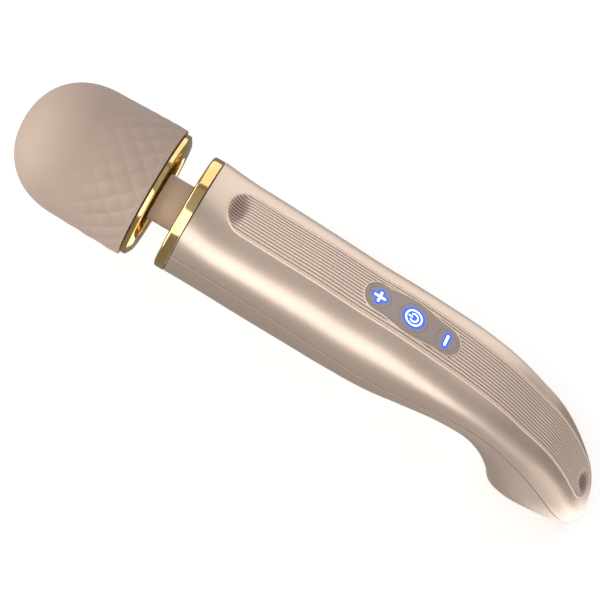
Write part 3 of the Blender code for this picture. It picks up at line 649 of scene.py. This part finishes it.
def section(along, turn, inset, side):
    """Half sections: across = cos^(2/power), up = sin^(2/power), leaning about the seam."""
    x, z, half, front, rear, lean, *powers = (value[:, None] for value in form(along))
    end = closing(along, inset)[:, None]
    depth, power = (front, powers[0]) if side > 0 else (rear, powers[1])
    cosine, sine = np.cos(turn)[None, :], np.sin(turn)[None, :]
    across = np.sign(cosine) * np.abs(cosine) ** (2 / power)
    up = np.abs(sine) ** (2 / power)
    y = -across * np.maximum(half * end - inset * (end > 0), 0)
    height = side * (GAP / 2 + up * np.maximum(depth * end - inset * (end > 0), 0))
    return leaning(x, y, z, lean, height)


def front_height(x, y):
    """Height of the front over a point of the straight part: a super-ellipse above the seam."""
    _, z, half, front, _, _, power, _ = form(x / HANDLE_LENGTH)
    return z + GAP / 2 + front * (1 - np.abs(y / half) ** power) ** (1 / power)


PANEL_Z = float(front_height(np.array([PANEL_X]), np.array([0.0]))[0])
print("panel at", round(PANEL_X, 2), round(PANEL_Z, 2), "lean", round(math.degrees(PANEL_LEAN), 2))
PANEL_FILM = panel_film("panel_film")
LIGHT_GUIDE = light_guide("light_guide")
BOARD = printed_board("printed_board")

# %% [markdown]
# ## Ribbed inlay
# A strip of fine ribs runs down the whole front. It is measured along the front's middle line, so
# that it follows the curl of the tail. Its lift over the front is a sum of parts: ribs, a smooth
# border, and a finger dimple near each end.

# %% Ribbed inlay
INLAY_START = 8.2
INLAY_END_SPARE = 14.8
RIB_COUNT = 15
RIB_SHARE = 0.134  # pitch of the ribs, as a share of the inlay's half width
RIB_DEPTH = 0.34
BORDER = 0.85
BORDER_LIFT = 0.24
INLAY_FLOOR = -0.7
INLAY_BED = 0.5  # how far the shell drops under the inlay
WIDTH_STOPS = (0.0, 0.5, 0.75, 1.0)
WIDTH_VALUES = (9.2, 10.0, 9.5, 8.1)
NEAR_DIMPLE = (4.6, 3.0, 6.2, 0.85)  # from the end, half length, half width, depth
FAR_DIMPLE = (5.2, 3.3, 3.6, 0.95)
BED_SLOPE = (0.3, 2.0)  # from the edge to where the bed and the dimples start and are full

fine_along = np.linspace(0, 1, 2001)
middle_line = section(fine_along, np.array([math.pi / 2]), 0.0, 1)[:, 0]
steps = np.linalg.norm(np.diff(middle_line, axis=0), axis=1)
run_length = np.concatenate([[0], np.cumsum(steps)])
inlay_run = (INLAY_START, run_length[-1] - INLAY_END_SPARE)
print("front line", round(run_length[-1], 1), "mm, inlay", round(inlay_run[1] - inlay_run[0], 1))


def smooth_step(value, low, high):
    """0 below low, 1 above high, 3t^2 - 2t^3 between."""
    t = np.clip((value - low) / (high - low), 0, 1)
    return t * t * (3 - 2 * t)


def dimple(run, across, middle, half_length, half_width, depth):
    """A soft scoop: exp(-r^4) of the elliptical distance from its middle."""
    away = ((run - middle) / half_length) ** 2 + (across / half_width) ** 2
    return depth * np.exp(-(away**2))


def inlay_place(run, across):
    """Half width, share past the end's start, distance inside the edge, depth of the dimples."""
    start, end = inlay_run
    wide = np.interp((run - start) / (end - start), WIDTH_STOPS, WIDTH_VALUES)
    over = np.maximum((start + wide - run) / wide, (run - end + wide) / wide).clip(0, 1)
    inside = wide * (1 - np.sqrt(over**2 + (across / wide) ** 2).clip(0, 1))
    scoop = dimple(run, across, start + NEAR_DIMPLE[0], *NEAR_DIMPLE[1:])
    scoop = scoop + dimple(run, across, end - FAR_DIMPLE[0], *FAR_DIMPLE[1:])
    return wide, over, inside, scoop


# %% [markdown]
# ## Shells
# The handle is two mouldings that meet along its sides. Each is an arch outside and an arch a
# wall's thickness inside, so its parting line is a real gap, with a small round on the edge.

# %% Shell surface
EDGE_ROUND = 0.10
EDGE_TURNS = np.array([0, 0.0015, 0.004, 0.009, 0.018, 0.035])  # close points at the parting line
ARCH_TURNS = np.linspace(0.06, math.pi - 0.06, 74)
TAIL_START = 0.93
STRAIGHT_STATIONS = 150
TAIL_STATIONS = 36


def shell_grid(side):
    """An outer and an inner arch at each station, ending in a middle line that closes the end."""
    straight = np.linspace(0, TAIL_START, STRAIGHT_STATIONS)
    quarter = np.linspace(0, math.pi / 2, TAIL_STATIONS)[1:]
    along = np.concatenate([[0.0], straight, TAIL_START + (1 - TAIL_START) * np.sin(quarter)])
    turn = np.concatenate([EDGE_TURNS, ARCH_TURNS, math.pi - EDGE_TURNS[::-1]])
    outer = section(along, turn, 0.0, side)
    inner = section(along, turn, WALL, side)
    above = np.abs(outer[..., 2] - outer[:, :1, 2])
    rounding = EDGE_ROUND * np.exp(-((above / EDGE_ROUND) ** 2))
    outer[..., 1] -= np.sign(outer[..., 1]) * np.minimum(rounding, np.abs(outer[..., 1]))
    if side > 0:
        run = np.interp(along, fine_along, run_length)[:, None]
        _, _, inside, scoop = inlay_place(run, outer[..., 1])
        pocket = (INLAY_BED + scoop) * smooth_step(inside, *BED_SLOPE)
        lean = form(along)[5][:, None]
        outer[..., 0] -= pocket * np.sin(lean)
        outer[..., 2] -= pocket * np.cos(lean)
    outer[:2, :, 0] += GAP
    inner[:2, :, 0] += GAP
    middle = (outer[0] + inner[0]) / 2
    outer[0] = middle
    inner[0] = middle
    return np.concatenate([outer, inner[:, ::-1]], axis=1)


# %% [markdown]
# An inlaid plate, its opening and the keys are all one shape: an edge in the panel's plane, with
# rings that shrink to its centre over the top and the bottom. The top follows the handle's front.


# %% Plates in the panel's plane
PANEL_LENGTH = 38.4
PANEL_WIDTH = 11.4
PANEL_LOBE = 14.2
LOBE_LENGTH = 22.0
PANEL_DEPTH = 2.4
POWER_KEY_RADIUS = 5.5
KEY_RADIUS = 4.2
TOP_RINGS = 16
HEIGHT_PASSES = 6  # each pass closes in on the height over the leaning plane
SHELL_CUT = (-9.0, 5.0)  # bottom and top of a cut, from the panel's plane
KEY_CUT = (-6.0, 4.0)


def panel_outline(grow=0.0, count=97):
    """Rounded ends, and a raised cosine that swells the middle over the power key."""
    turn = np.linspace(0, math.pi, count)
    u = PANEL_LENGTH / 2 * np.cos(turn)
    end = (PANEL_LENGTH - PANEL_WIDTH) / 2
    past = np.clip((np.abs(u) - end) / (PANEL_WIDTH / 2), 0, 1)
    swell = 0.5 + 0.5 * np.cos(2 * math.pi * np.clip(u / LOBE_LENGTH, -0.5, 0.5))
    half = PANEL_WIDTH / 2 * np.sqrt(1 - past**2) + (PANEL_LOBE - PANEL_WIDTH) / 2 * swell**0.8
    edge = joined(u, half)
    edge = np.concatenate([edge, edge[-2:0:-1] * (1, -1)])
    run = np.roll(edge, -1, axis=0) - np.roll(edge, 1, axis=0)
    outward = unit(joined(run[:, 1], -run[:, 0]))
    outward *= np.sign((outward * edge).sum(axis=1))[:, None]
    return edge + grow * outward


def circle_outline(radius, u, count=72):
    """Points of a circle about a place on the panel's middle line."""
    turn = around(count)
    return joined(u + radius * np.cos(turn), radius * np.sin(turn))


def from_panel(u, v, w):
    """Points over the panel's leaning plane, in the handle's axes."""
    cosine, sine = math.cos(PANEL_LEAN), math.sin(PANEL_LEAN)
    x = PANEL_X + u * cosine + w * sine
    return joined(x, v, PANEL_Z - u * sine + w * cosine)


def panel_surface(u, v):
    """Height of the handle's front above the panel's plane, along the plane's own normal."""
    w = np.zeros_like(u)
    for _ in range(HEIGHT_PASSES):
        x = from_panel(u, v, w)[..., 0]
        w = (front_height(x, v) - PANEL_Z + u * math.sin(PANEL_LEAN)) / math.cos(PANEL_LEAN)
    return w


def plate_grid(outline, lift, bottom, edge=0.12, flat_top=None):
    """Rings from the centre of the top out to the edge, and from there to the bottom's centre."""
    centre = (outline.min(axis=0) + outline.max(axis=0)) / 2
    reach = np.abs(outline - centre).max()
    step = edge / reach
    shares = [*np.linspace(0, 1 - 3 * step, TOP_RINGS), 1 - step, 1 - step / 3, 1, 1, 0]
    drops = [0] * TOP_RINGS + [0, edge * 0.3, edge, None, None]
    rings = []
    for share, drop in zip(shares, drops):
        u, v = (centre + share * (outline - centre)).T
        top = panel_surface(u, v) if flat_top is None else np.full(len(u), flat_top)
        w = np.full(len(u), bottom) if drop is None else top + lift - drop
        rings.append(from_panel(u, v, w))
    return np.stack(rings)


def cut_grid(outline, cut):
    """A straight block with that outline, which a Boolean takes out."""
    return plate_grid(outline, 0.0, cut[0], flat_top=cut[1])


# %% [markdown]
# The real openings are moulded: one for the panel in front, one for the charging plate behind. Here
# an exact Boolean takes a block out, because a hole lofted into the grid would bend its rows.

# %% Make the shells
PORT_CUT = 6.0  # how far the cut goes on either side of the plate's lower face
plate_low, plate_high = box_mm("charging_plate")
PORT_X = (plate_low[0] + plate_high[0]) / 2
plate_length, plate_width, _ = plate_high - plate_low
PORT_REACH, PORT_RADIUS = (plate_length - plate_width) / 2, plate_width / 2


def stadium_grid(levels, radius, count):
    """A stadium outline at levels of (inset, z); an inset of None closes it to its middle."""
    turn = np.linspace(-math.pi / 2, math.pi / 2, count)
    rings = []
    for inset, z in levels:
        reach, spread = (0.0, 0.0) if inset is None else (PORT_REACH, radius - inset)
        end = joined(reach + spread * np.cos(turn), spread * np.sin(turn))
        x, y = np.concatenate([end, -end]).T
        rings.append(joined(PORT_X + x, y, np.full(len(x), z)))
    return np.stack(rings)


front = skin("front_cover", shell_grid(1))
front = carve(front, cut_grid(panel_outline(0.2), SHELL_CUT))
piece("front_cover", front, CHAMPAGNE, "handle", ["front_shell"])

low, high = plate_low[2] - PORT_CUT, plate_low[2] + PORT_CUT
levels = ((None, low), (0, low), (0, high), (None, high))
rear = skin("rear_cover", shell_grid(-1))
rear = carve(rear, stadium_grid(levels, PORT_RADIUS + GAP / 2, 25))
# The rear shell wears the darker copy of the lacquer, a painted shade.
piece("rear_cover", rear, CHAMPAGNE_REAR_SHADED, "handle", ["rear_shell"])

# %% [markdown]
# The real strip is a thin moulding glued into a shallow bed. Its ribs catch the light one by one,
# so they are modelled rather than painted, with enough columns to round the top of each.

# %% Inlay surface
END_ROWS = 40
MIDDLE_ROWS = 130
INLAY_COLUMNS = 171
INLAY_LIFT = 0.12
EDGE_ROLL = 0.45
GROOVE_POWER = 3.2


def inlay_grid():
    """Points of the inlay, its top then a floor sunk in the shell, and its painted groove shade."""
    start, end = inlay_run
    first, last = WIDTH_VALUES[0], WIDTH_VALUES[-1]
    turn = np.linspace(0, math.pi / 2, END_ROWS)
    run = np.concatenate(
        [
            start + first * (1 - np.cos(turn)),
            np.linspace(start + first, end - last, MIDDLE_ROWS)[1:-1],
            end - last * (1 - np.sin(turn)),
        ]
    )[:, None]
    wide, over, _, _ = inlay_place(run, 0.0 * run)
    across = np.linspace(-1, 1, INLAY_COLUMNS)[None, :] * wide * np.sqrt(1 - over**2)
    _, _, inside, scoop = inlay_place(run, across)
    phase = across / (wide * RIB_SHARE)
    ribbed = smooth_step(inside, BORDER - 0.25, BORDER + 0.1) * (np.abs(phase) < RIB_COUNT / 2)
    groove = (0.5 + 0.5 * np.cos(2 * math.pi * phase)) ** GROOVE_POWER * ribbed
    border = BORDER_LIFT * (1 - smooth_step(inside, BORDER - 0.3, BORDER + 0.05))
    roll = EDGE_ROLL * (1 - np.sqrt(smooth_step(inside, -0.25, 0.25)))
    dent = scoop * smooth_step(inside, *BED_SLOPE)
    lift = INLAY_LIFT + border - RIB_DEPTH * groove - dent - roll
    top = on_front(run, across, lift)
    floor = on_front(run, across, np.full_like(lift, INLAY_FLOOR) - scoop)
    # Painted shade: how dark the inlay's colour goes, full in the grooves and most of the way in
    # the dimples.
    hollow = np.clip(groove**0.8 + 0.75 * scoop, 0, 1)
    grid = np.concatenate([top, floor[:, ::-1]], axis=1)
    return grid, np.concatenate([hollow, np.zeros_like(hollow)], axis=1)


def on_front(run, across, lift):
    """A point of the front face at a run along its middle line, a distance across and a lift."""
    along = np.interp(run, run_length, fine_along)[:, 0]
    x, z, half, front, _, lean, power, _ = (value[:, None] for value in form(along))
    end = closing(along)[:, None]
    share = np.clip(np.abs(across / (half * end)), 0, 1)
    height = GAP / 2 + front * end * (1 - share**power) ** (1 / power) + lift
    return leaning(x, across, z, lean, height)


grid, hollow = inlay_grid()
inlay = skin("ribbed_inlay", grid, hollow=hollow)
inlay = carve(inlay, cut_grid(panel_outline(0.35), SHELL_CUT))
piece("ribbed_inlay", inlay, RIBBED, "handle", crease=50)

# %% [markdown]
# ## Panel, keys and light guides
# The panel lies flush in the inlay inside a thin bright frame. Three keys come up through it with
# a hairline gap, and each carries its symbol as a light guide, a narrow domed band along a path.

# %% Panel and keys
PANEL_LIFT = 0.10
HAIRLINE = 0.08
KEY_BOTTOM = -PANEL_DEPTH - 0.9
KEY_EASE = 0.02
KEYS = (
    ("plus", -KEY_PITCH, KEY_RADIUS),
    ("power", 0.0, POWER_KEY_RADIUS),
    ("minus", KEY_PITCH, KEY_RADIUS),
)
film = skin("panel_film", plate_grid(panel_outline(), PANEL_LIFT, -PANEL_DEPTH))
for word, u, radius in KEYS:
    film = carve(film, cut_grid(circle_outline(radius + HAIRLINE, u), KEY_CUT))
    cap_grid = plate_grid(circle_outline(radius, u), PANEL_LIFT, KEY_BOTTOM, KEY_EASE)
    cap = skin(f"{word}_cap", cap_grid)
    piece(cap.name, cap, PANEL_FILM, f"{word}_button", [f"{word}_key"])
piece("panel_film", film, PANEL_FILM, "handle", ["control_panel"])


def band_grid(path, width, lift, depth, closed=False):
    """A half-round band along a path in the panel's plane: width * cos, lift * sin, flat below."""
    ahead, behind = np.roll(path, -1, axis=0), np.roll(path, 1, axis=0)
    if not closed:
        ahead[-1], behind[0] = path[-1], path[0]
    run = ahead - behind
    side = unit(joined(-run[:, 1], run[:, 0]))
    turn = np.linspace(0, math.pi, 9)
    offset = np.concatenate([np.cos(turn), [-1, 1]]) * width / 2
    rise = np.concatenate([np.sin(turn) * lift, [-depth, -depth]])
    spread = np.ones(len(path))
    if not closed:
        distance = np.linalg.norm(path - path[0], axis=1)
        left = np.linalg.norm(path - path[-1], axis=1)
        nearest = np.minimum(distance, left) / (width / 2)
        spread = np.sqrt(1 - (1 - np.clip(nearest, 0, 1)) ** 2)
    uv = path[:, None, :] + side[:, None, :] * (offset[None, :, None] * spread[:, None, None])
    w = panel_surface(uv[..., 0], uv[..., 1]) + PANEL_LIFT
    w = w + rise[None, :] * np.where(rise[None, :] > 0, spread[:, None], 1)
    grid = from_panel(uv[..., 0], uv[..., 1], w)
    if closed:
        return grid
    ends = (grid[:1].mean(axis=1, keepdims=True), grid[-1:].mean(axis=1, keepdims=True))
    first, last = (np.repeat(end, grid.shape[1], axis=1) for end in ends)
    return np.concatenate([first, grid, last])


def bar_path(u, v, long_u, long_v):
    """A straight path with its points close together at the ends."""
    share = np.sin(np.linspace(-math.pi / 2, math.pi / 2, 25))
    return joined(u + share * long_u, v + share * long_v)


def arc_path(radius, half_angle):
    """An arc about the power key's middle, open towards the head."""
    turn = np.radians(np.linspace(-half_angle, half_angle, 49))
    return joined(radius * np.cos(turn), radius * np.sin(turn))


# %% [markdown]
# Each symbol stands a little proud of its key. The plus is two crossed bars, and the power sign is
# an arc and a bar in a ring. The panel's bright frame is the same band, carried round its outline.

# %% Symbols
STROKE = 0.85
FINE_STROKE = 0.5
RING_STROKE = 0.55
GUIDE = (0.05, 0.25)  # lift and depth
PLUS_REACH = 2.3
MINUS_REACH = 2.4
ARC_RADIUS = 1.55
ARC_HALF_ANGLE = 140
BAR_MIDDLE = -1.35
BAR_REACH = 0.85
FRAME_GROW = 0.32  # how far the frame's middle line is outside the panel
FRAME = (0.62, 0.26, 0.6)  # width, lift and depth
SYMBOLS = (
    # name, key, stroke, path, whether the path closes on itself
    ("plus_symbol_long", "plus", STROKE, bar_path(-KEY_PITCH, 0, PLUS_REACH, 0), False),
    ("plus_symbol_cross", "plus", STROKE, bar_path(-KEY_PITCH, 0, 0, PLUS_REACH), False),
    ("minus_symbol", "minus", STROKE, bar_path(KEY_PITCH, 0, 0, MINUS_REACH), False),
    ("power_symbol_arc", "power", FINE_STROKE, arc_path(ARC_RADIUS, ARC_HALF_ANGLE), False),
    ("power_symbol_bar", "power", FINE_STROKE, bar_path(BAR_MIDDLE, 0, BAR_REACH, 0), False),
    ("power_symbol_ring", "power", RING_STROKE, circle_outline(POWER_RING, 0.0, 96), True),
)
for name, word, stroke, path, closed in SYMBOLS:
    data = skin(name, band_grid(path, stroke, *GUIDE, closed), closed)
    piece(name, data, LIGHT_GUIDE, f"{word}_button")
frame_band = band_grid(panel_outline(FRAME_GROW, 145), *FRAME, closed=True)
frame_data = skin("panel_frame", frame_band, True)
piece("panel_frame", frame_data, CHAMPAGNE, "handle")

# %% [markdown]
# ## Head
# The head is a thick silicone cap: a dome over a slightly flaring skirt. Two families of spiral
# grooves cross on the skirt and leave puffed diamonds, which fade out towards the smooth tip.


# %% Turned shapes
def turned_grid(profile, steps, relief=None):
    """A profile of (radius, height) carried round the neck's axis; X is minus the height."""
    radius, height = np.array(profile, float).T
    turn = around(steps)[None, :]
    radius, height = radius[:, None], height[:, None]
    if relief is not None:
        radius = radius + relief(turn, height)
    flat = 0 * turn
    return joined(flat - height, radius * np.cos(turn), radius * np.sin(turn))


def rounded(corners, radii, steps=7):
    """A closed profile whose corners are eased by curves that start a radius from each corner."""
    corners = np.array(corners, float)
    points = []
    for i, radius in enumerate(radii):
        corner = corners[i]
        before, after = corners[i - 1] - corner, corners[(i + 1) % len(corners)] - corner
        start = corner + before / np.linalg.norm(before) * radius
        finish = corner + after / np.linalg.norm(after) * radius
        for t in np.linspace(0, 1, steps):
            points.append((1 - t) ** 2 * start + 2 * t * (1 - t) * corner + t**2 * finish)
    return np.array(points)


# %% [markdown]
# The cap is moulded in one, with the diamonds cut in the mould. Its grid is a turned profile, out
# over the dome and back along the lining, and the relief is added to the outer rows' radius.

# %% Head cap
SHOULDER_RADIUS = 23.9
BASE_RADIUS = 24.45
DOME_LENGTH = 25.0
DOME_POWER = 2.2
CAP_WALL = 3.0
DIAMONDS_AROUND = 20
DIAMOND_LENGTH = 8.2
DIAMOND_DEPTH = 0.42
SKIRT_FADE = (9.0, 29.0)  # from the base to where the diamonds start and end fading
BASE_FADE = (0.6, 2.4)  # from the base to where they start and are full
LIP = ((0.0, 0.3), (0.0, 0.12), (-0.15, 0.0))  # the eased edge, from the corner of the base
CAP_COLUMNS = 400


def dome_line(inset, count):
    """The head's outer line: radius = sin^(2/power), height = cos^(2/power), then the skirt."""
    turn = np.linspace(0, math.pi / 2, count)
    bend = 2 / DOME_POWER
    radius = (SHOULDER_RADIUS - inset) * np.sin(turn) ** bend
    height = HEAD_TIP - DOME_LENGTH + (DOME_LENGTH - inset) * np.cos(turn) ** bend
    share = np.linspace(0, 1, 2 * count)[1:]
    skirt_height = height[-1] + (HEAD_BASE - height[-1]) * share
    skirt_radius = radius[-1] + (BASE_RADIUS - inset - radius[-1]) * share
    return joined(np.append(radius, skirt_radius), np.append(height, skirt_height))


def diamonds(turn, height):
    """Puffed diamonds: |sin a|^0.7 (0.5 + 0.5 |sin b|^0.8), for two crossing families of lines."""
    wind = DIAMONDS_AROUND / 2 * turn
    climb = math.pi * (height - HEAD_BASE) / DIAMOND_LENGTH
    strong, faint = np.abs(np.sin(wind - climb)), np.abs(np.sin(wind + climb))
    puff = strong**0.7 * (0.5 + 0.5 * faint**0.8)
    above = height - HEAD_BASE
    fade = (1 - smooth_step(above, *SKIRT_FADE)) * smooth_step(above, *BASE_FADE)
    return DIAMOND_DEPTH * fade * (puff - 0.55)


lip = np.array([BASE_RADIUS, HEAD_BASE]) + LIP
outer_line = np.concatenate([dome_line(0.0, 50)[:-1], lip])
inner_line = dome_line(CAP_WALL, 12)[::-1]
outer_grid = turned_grid(outer_line, CAP_COLUMNS, diamonds)
cap_grid = np.concatenate([outer_grid, turned_grid(inner_line, CAP_COLUMNS)])
cap = skin("silicone_cap", cap_grid)
piece("silicone_cap", cap, SILICONE, "head", ["head_cap"])

# %% [markdown]
# ## Rings
# Two gold rings end the head and the handle. Their eased corners catch thin lines of light.

# %% Rings
HEAD_RING_RADIUS = 23.3
HEAD_HOLE = HEAD_RING_RADIUS - 6.7
RING_BEVEL = 1.5  # height of the bevel that turns in towards the neck
RING_HOLE = HANDLE_RADIUS - 4.5
head_ring_line = rounded(
    [
        (HEAD_HOLE, HEAD_RING_TOP),
        (HEAD_RING_RADIUS, HEAD_RING_TOP),
        (HEAD_RING_RADIUS, HEAD_RING_BASE + RING_BEVEL),
        (HEAD_RING_RADIUS - 2.6, HEAD_RING_BASE),
        (HEAD_HOLE + 1.0, HEAD_RING_BASE + 0.3),
        (HEAD_HOLE, HEAD_RING_BASE + 0.9),
    ],
    [0.2, 0.5, 0.5, 0.7, 0.5, 0.3],
)
handle_ring_line = rounded(
    [(RING_HOLE, RING_TOP), (HANDLE_RADIUS, RING_TOP), (HANDLE_RADIUS, 0.0), (RING_HOLE, 0.0)],
    [0.5, 1.3, 0.25, 0.2],
)
for name, line, body, node in (
    ("gold_head_ring", head_ring_line, "head", "head_ring"),
    ("gold_handle_ring", handle_ring_line, "handle", "handle_ring"),
):
    data = skin(name, turned_grid(line, 192), closed_rows=True)
    piece(name, data, GOLD, body, [node], crease=40)

# %% [markdown]
# ## Neck
# A soft silicone sleeve covers a steel spring. Both bend, so their rows are close together. Each is
# in two halves that meet where the neck bends.

# %% Neck
NECK_RADIUS = 8.75
NECK_BORE = 6.4
SOCKET_FLOOR = -0.5
NECK_END = HEAD_BASE - 0.6
SPRING_RADIUS = 5.1
SPRING_WIRE = 1.2
SPRING_TURNS = 3
SPRING_SPARE = 0.7  # left free at each end of a half
ROD_SIDES = 12


def tube_grid(low, high, outer, bore):
    """A straight tube along the neck's axis, with rows close enough to bend."""
    heights = np.linspace(low, high, 15)
    line = [(outer, height) for height in heights] + [(bore, height) for height in heights[::-1]]
    return turned_grid(line, 96)


def rod_grid(centre, side, radius):
    """A round rod: each ring is radius (cos side + sin path x side), and the ends close."""
    other = np.cross(unit(np.gradient(centre, axis=0)), side)
    turn = around(ROD_SIDES)[None, :, None]
    grid = centre[:, None] + radius * (np.cos(turn) * side[:, None] + np.sin(turn) * other[:, None])
    ends = np.repeat(centre[[0, -1], None], ROD_SIDES, axis=1)
    return np.concatenate([ends[:1], grid, ends[1:]])


def coil_grid(low, high):
    """The spring's wire, carried along a helix between two heights."""
    share = np.linspace(0, 1, 36 * SPRING_TURNS + 1)
    angle = 2 * math.pi * SPRING_TURNS * share
    outward = joined(0 * angle, np.cos(angle), np.sin(angle))
    centre = SPRING_RADIUS * outward
    centre[:, 0] = -(low + (high - low) * share)
    return rod_grid(centre, outward, SPRING_WIRE / 2)


NECK_HALVES = (
    ("lower", "handle", "neck", SOCKET_FLOOR + 0.05, NECK_PIVOT),
    ("upper", "neck", "head", NECK_PIVOT, NECK_END),
)
for half, near_body, far_body, low, high in NECK_HALVES:
    sleeve = skin(f"neck_sleeve_{half}", tube_grid(low, high, NECK_RADIUS, NECK_BORE), True)
    spring = skin(f"neck_spring_{half}", coil_grid(low + SPRING_SPARE, high - SPRING_SPARE))
    for data, finish, slot, node in (
        (sleeve, NECK_SILICONE_LIT, "beige_silicone", "neck_sleeve"),
        (spring, INNER["zinc_steel"], "zinc_plated_steel", "neck_spring"),
    ):
        obj = piece(data.name, data, finish, None, [node])
        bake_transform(obj)

# %% [markdown]
# ## The motor's lead
# A lead runs from the board, over the battery and through the neck to the motor. It is split where
# the neck bends.

# %% Motor lead
LEAD_RADIUS = 0.9
board_low, board_high = box_mm("circuit_board")
motor_back = height_of(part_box("motor_can")[1].x) - GAP - LEAD_RADIUS
cell_low, cell_high = box_mm("battery_cell")
board_z = board_high[2] - 0.6
LEAD_POINTS = (
    (board_low[0] - 0.8, -4.0, board_z + 0.2),
    (board_low[0] - 9.6, -4.0, board_z + 0.8),
    (cell_low[0] + 12.0, -3.0, cell_high[2] + 2.7),
    (cell_low[0] + 1.0, -2.0, cell_high[2] + 2.0),
    (cell_low[0] - 7.0, -0.5, 1.6),
    (3.5, 0, 0.0),
    (-NECK_PIVOT, 0, 0.0),
    (-HEAD_BASE - 2.0, 0, 1.4),
    (-motor_back, 0, 5.0),
)


def wire_grid(points, radius, count):
    """A round wire along a smooth curve through points, closed at both ends."""
    points = np.array(points)
    spans = np.linalg.norm(np.diff(points, axis=0), axis=1)
    knots = np.concatenate([[0], np.cumsum(spans)])
    at = np.linspace(0, knots[-1], count)
    centre = joined(*(smooth_curve(knots, column, at) for column in points.T))
    side = unit(np.cross(np.gradient(centre, axis=0), AXIS_Y))
    return rod_grid(centre, side, radius)


for name, points, near_body, far_body, near_height, far_height in (
    ("motor_lead_lower", LEAD_POINTS[:7], "handle", "neck", 0.0, NECK_PIVOT),
    ("motor_lead_upper", LEAD_POINTS[6:], "neck", "head", NECK_PIVOT, NECK_END),
):
    data = skin(name, wire_grid(points, LEAD_RADIUS, 90))
    lead = piece(name, data, INNER["black_wire"], None, ["motor_lead"])
    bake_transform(lead)

# %% [markdown]
# ## Charging plate
# Under the tail a dark plate is let in almost flush. Two gold contacts stand in it as low domes.

# %% Charging plate
PLATE_EASE = 0.25
STUD_DOME = 0.35
STUD_DROP = 0.05  # from the box's lower face to the dome
HOLE_SPARE = 0.15
HOLE_REACH = 2.0


def stud_grid(x, bottom, top, radius, dome):
    """A round stud that ends below in a low dome: radius * cos, dome * sin."""
    rise = np.linspace(math.pi / 2, 0, 9)
    r = np.concatenate([radius * np.cos(rise), [radius, 0.0]])[:, None]
    z = np.concatenate([bottom + dome - dome * np.sin(rise), [top, top]])[:, None]
    turn = around(40)[None, :]
    return joined(x + r * np.cos(turn), r * np.sin(turn), z + 0 * turn)


low, high = plate_low[2], plate_high[2]
levels = (
    (None, low),
    (PLATE_EASE, low),
    (0.3 * PLATE_EASE, low + 0.3 * PLATE_EASE),
    (0, low + PLATE_EASE),
    (0, high),
    (None, high),
)
plate_data = skin("port_plate", stadium_grid(levels, PORT_RADIUS, 33))
for end in ("front", "rear"):
    low, high = box_mm(f"charging_contact_{end}")
    middle, radius = (low[0] + high[0]) / 2, (high[0] - low[0]) / 2
    bottom, top = low[2] - HOLE_REACH, high[2] + HOLE_REACH
    plate_data = carve(plate_data, stud_grid(middle, bottom, top, radius + HOLE_SPARE, 0.0))
    stud_shape = stud_grid(middle, low[2] + STUD_DROP, high[2], radius, STUD_DOME)
    stud = skin(f"gold_contact_{end}", stud_shape)
    piece(stud.name, stud, CONTACT_GOLD, "handle", [f"charging_contact_{end}"])
piece("port_plate", plate_data, INNER["dark_plastic"], "handle", ["charging_plate"])

# %% [markdown]
# ## Everything inside
# The other solids already have the right shape. Each takes a finish in place of its plain colour.

# %% Dress the inner pieces
DRESSES = (
    (INNER["dark_plastic"], ("head_shell", "head_base", "neck_socket", "battery_cradle")),
    (INNER["bright_steel"], ("motor_can", "motor_shaft", "eccentric_weight")),
    (INNER["bright_steel"], ("port_magnet_front", "port_magnet_rear")),
    (INNER["zinc_steel"], ("board_screw_front", "board_screw_rear")),
    (INNER["sintered_bronze"], ["shaft_bush"]),
    (INNER["black_rubber"], ["motor_grommet"]),
    (BOARD, ["circuit_board"]),
    (CELL, ["battery_cell"]),
    (INNER["red_wire"], ["battery_lead"]),
    (INNER["black_wire"], ["charging_lead"]),
    (INNER["black_plastic"], [f"{word}_switch" for word, _, _ in KEYS]),
    (INNER["clear_led"], [f"{word}_led" for word, _, _ in KEYS]),
)
plain = {name for name, obj in frame["nodes"].items() if not obj.hide_render}
for finish, nodes in DRESSES:
    for node in nodes:
        data = frame["nodes"][node].data
        data.materials.clear()
        data.materials.append(finish)
    plain -= set(nodes)
print("finishes for the inner pieces", len(DRESSES), "left plain", sorted(plain))

# %% [markdown]
# ## Floor and finish
# The floor is a wide pale sheet just under the object. The last line brings the scene up to date.

# %% Floor
FLOOR_REACH = 3.0
FLOOR_DROP = 0.0005
sides = (-FLOOR_REACH, FLOOR_REACH)
corners = [(x, y, -FLOOR_DROP) for x in sides for y in sides]
floor_data = bpy.data.meshes.new("floor")
floor_data.from_pydata(corners, [], [(0, 2, 3, 1)])
floor_data.materials.append(FLOOR)
floor = add_object("floor", floor_data)
floor.visible_diffuse = False
floor.visible_glossy = False
floor.visible_shadow = False

# %% Finish
bpy.context.view_layer.update()
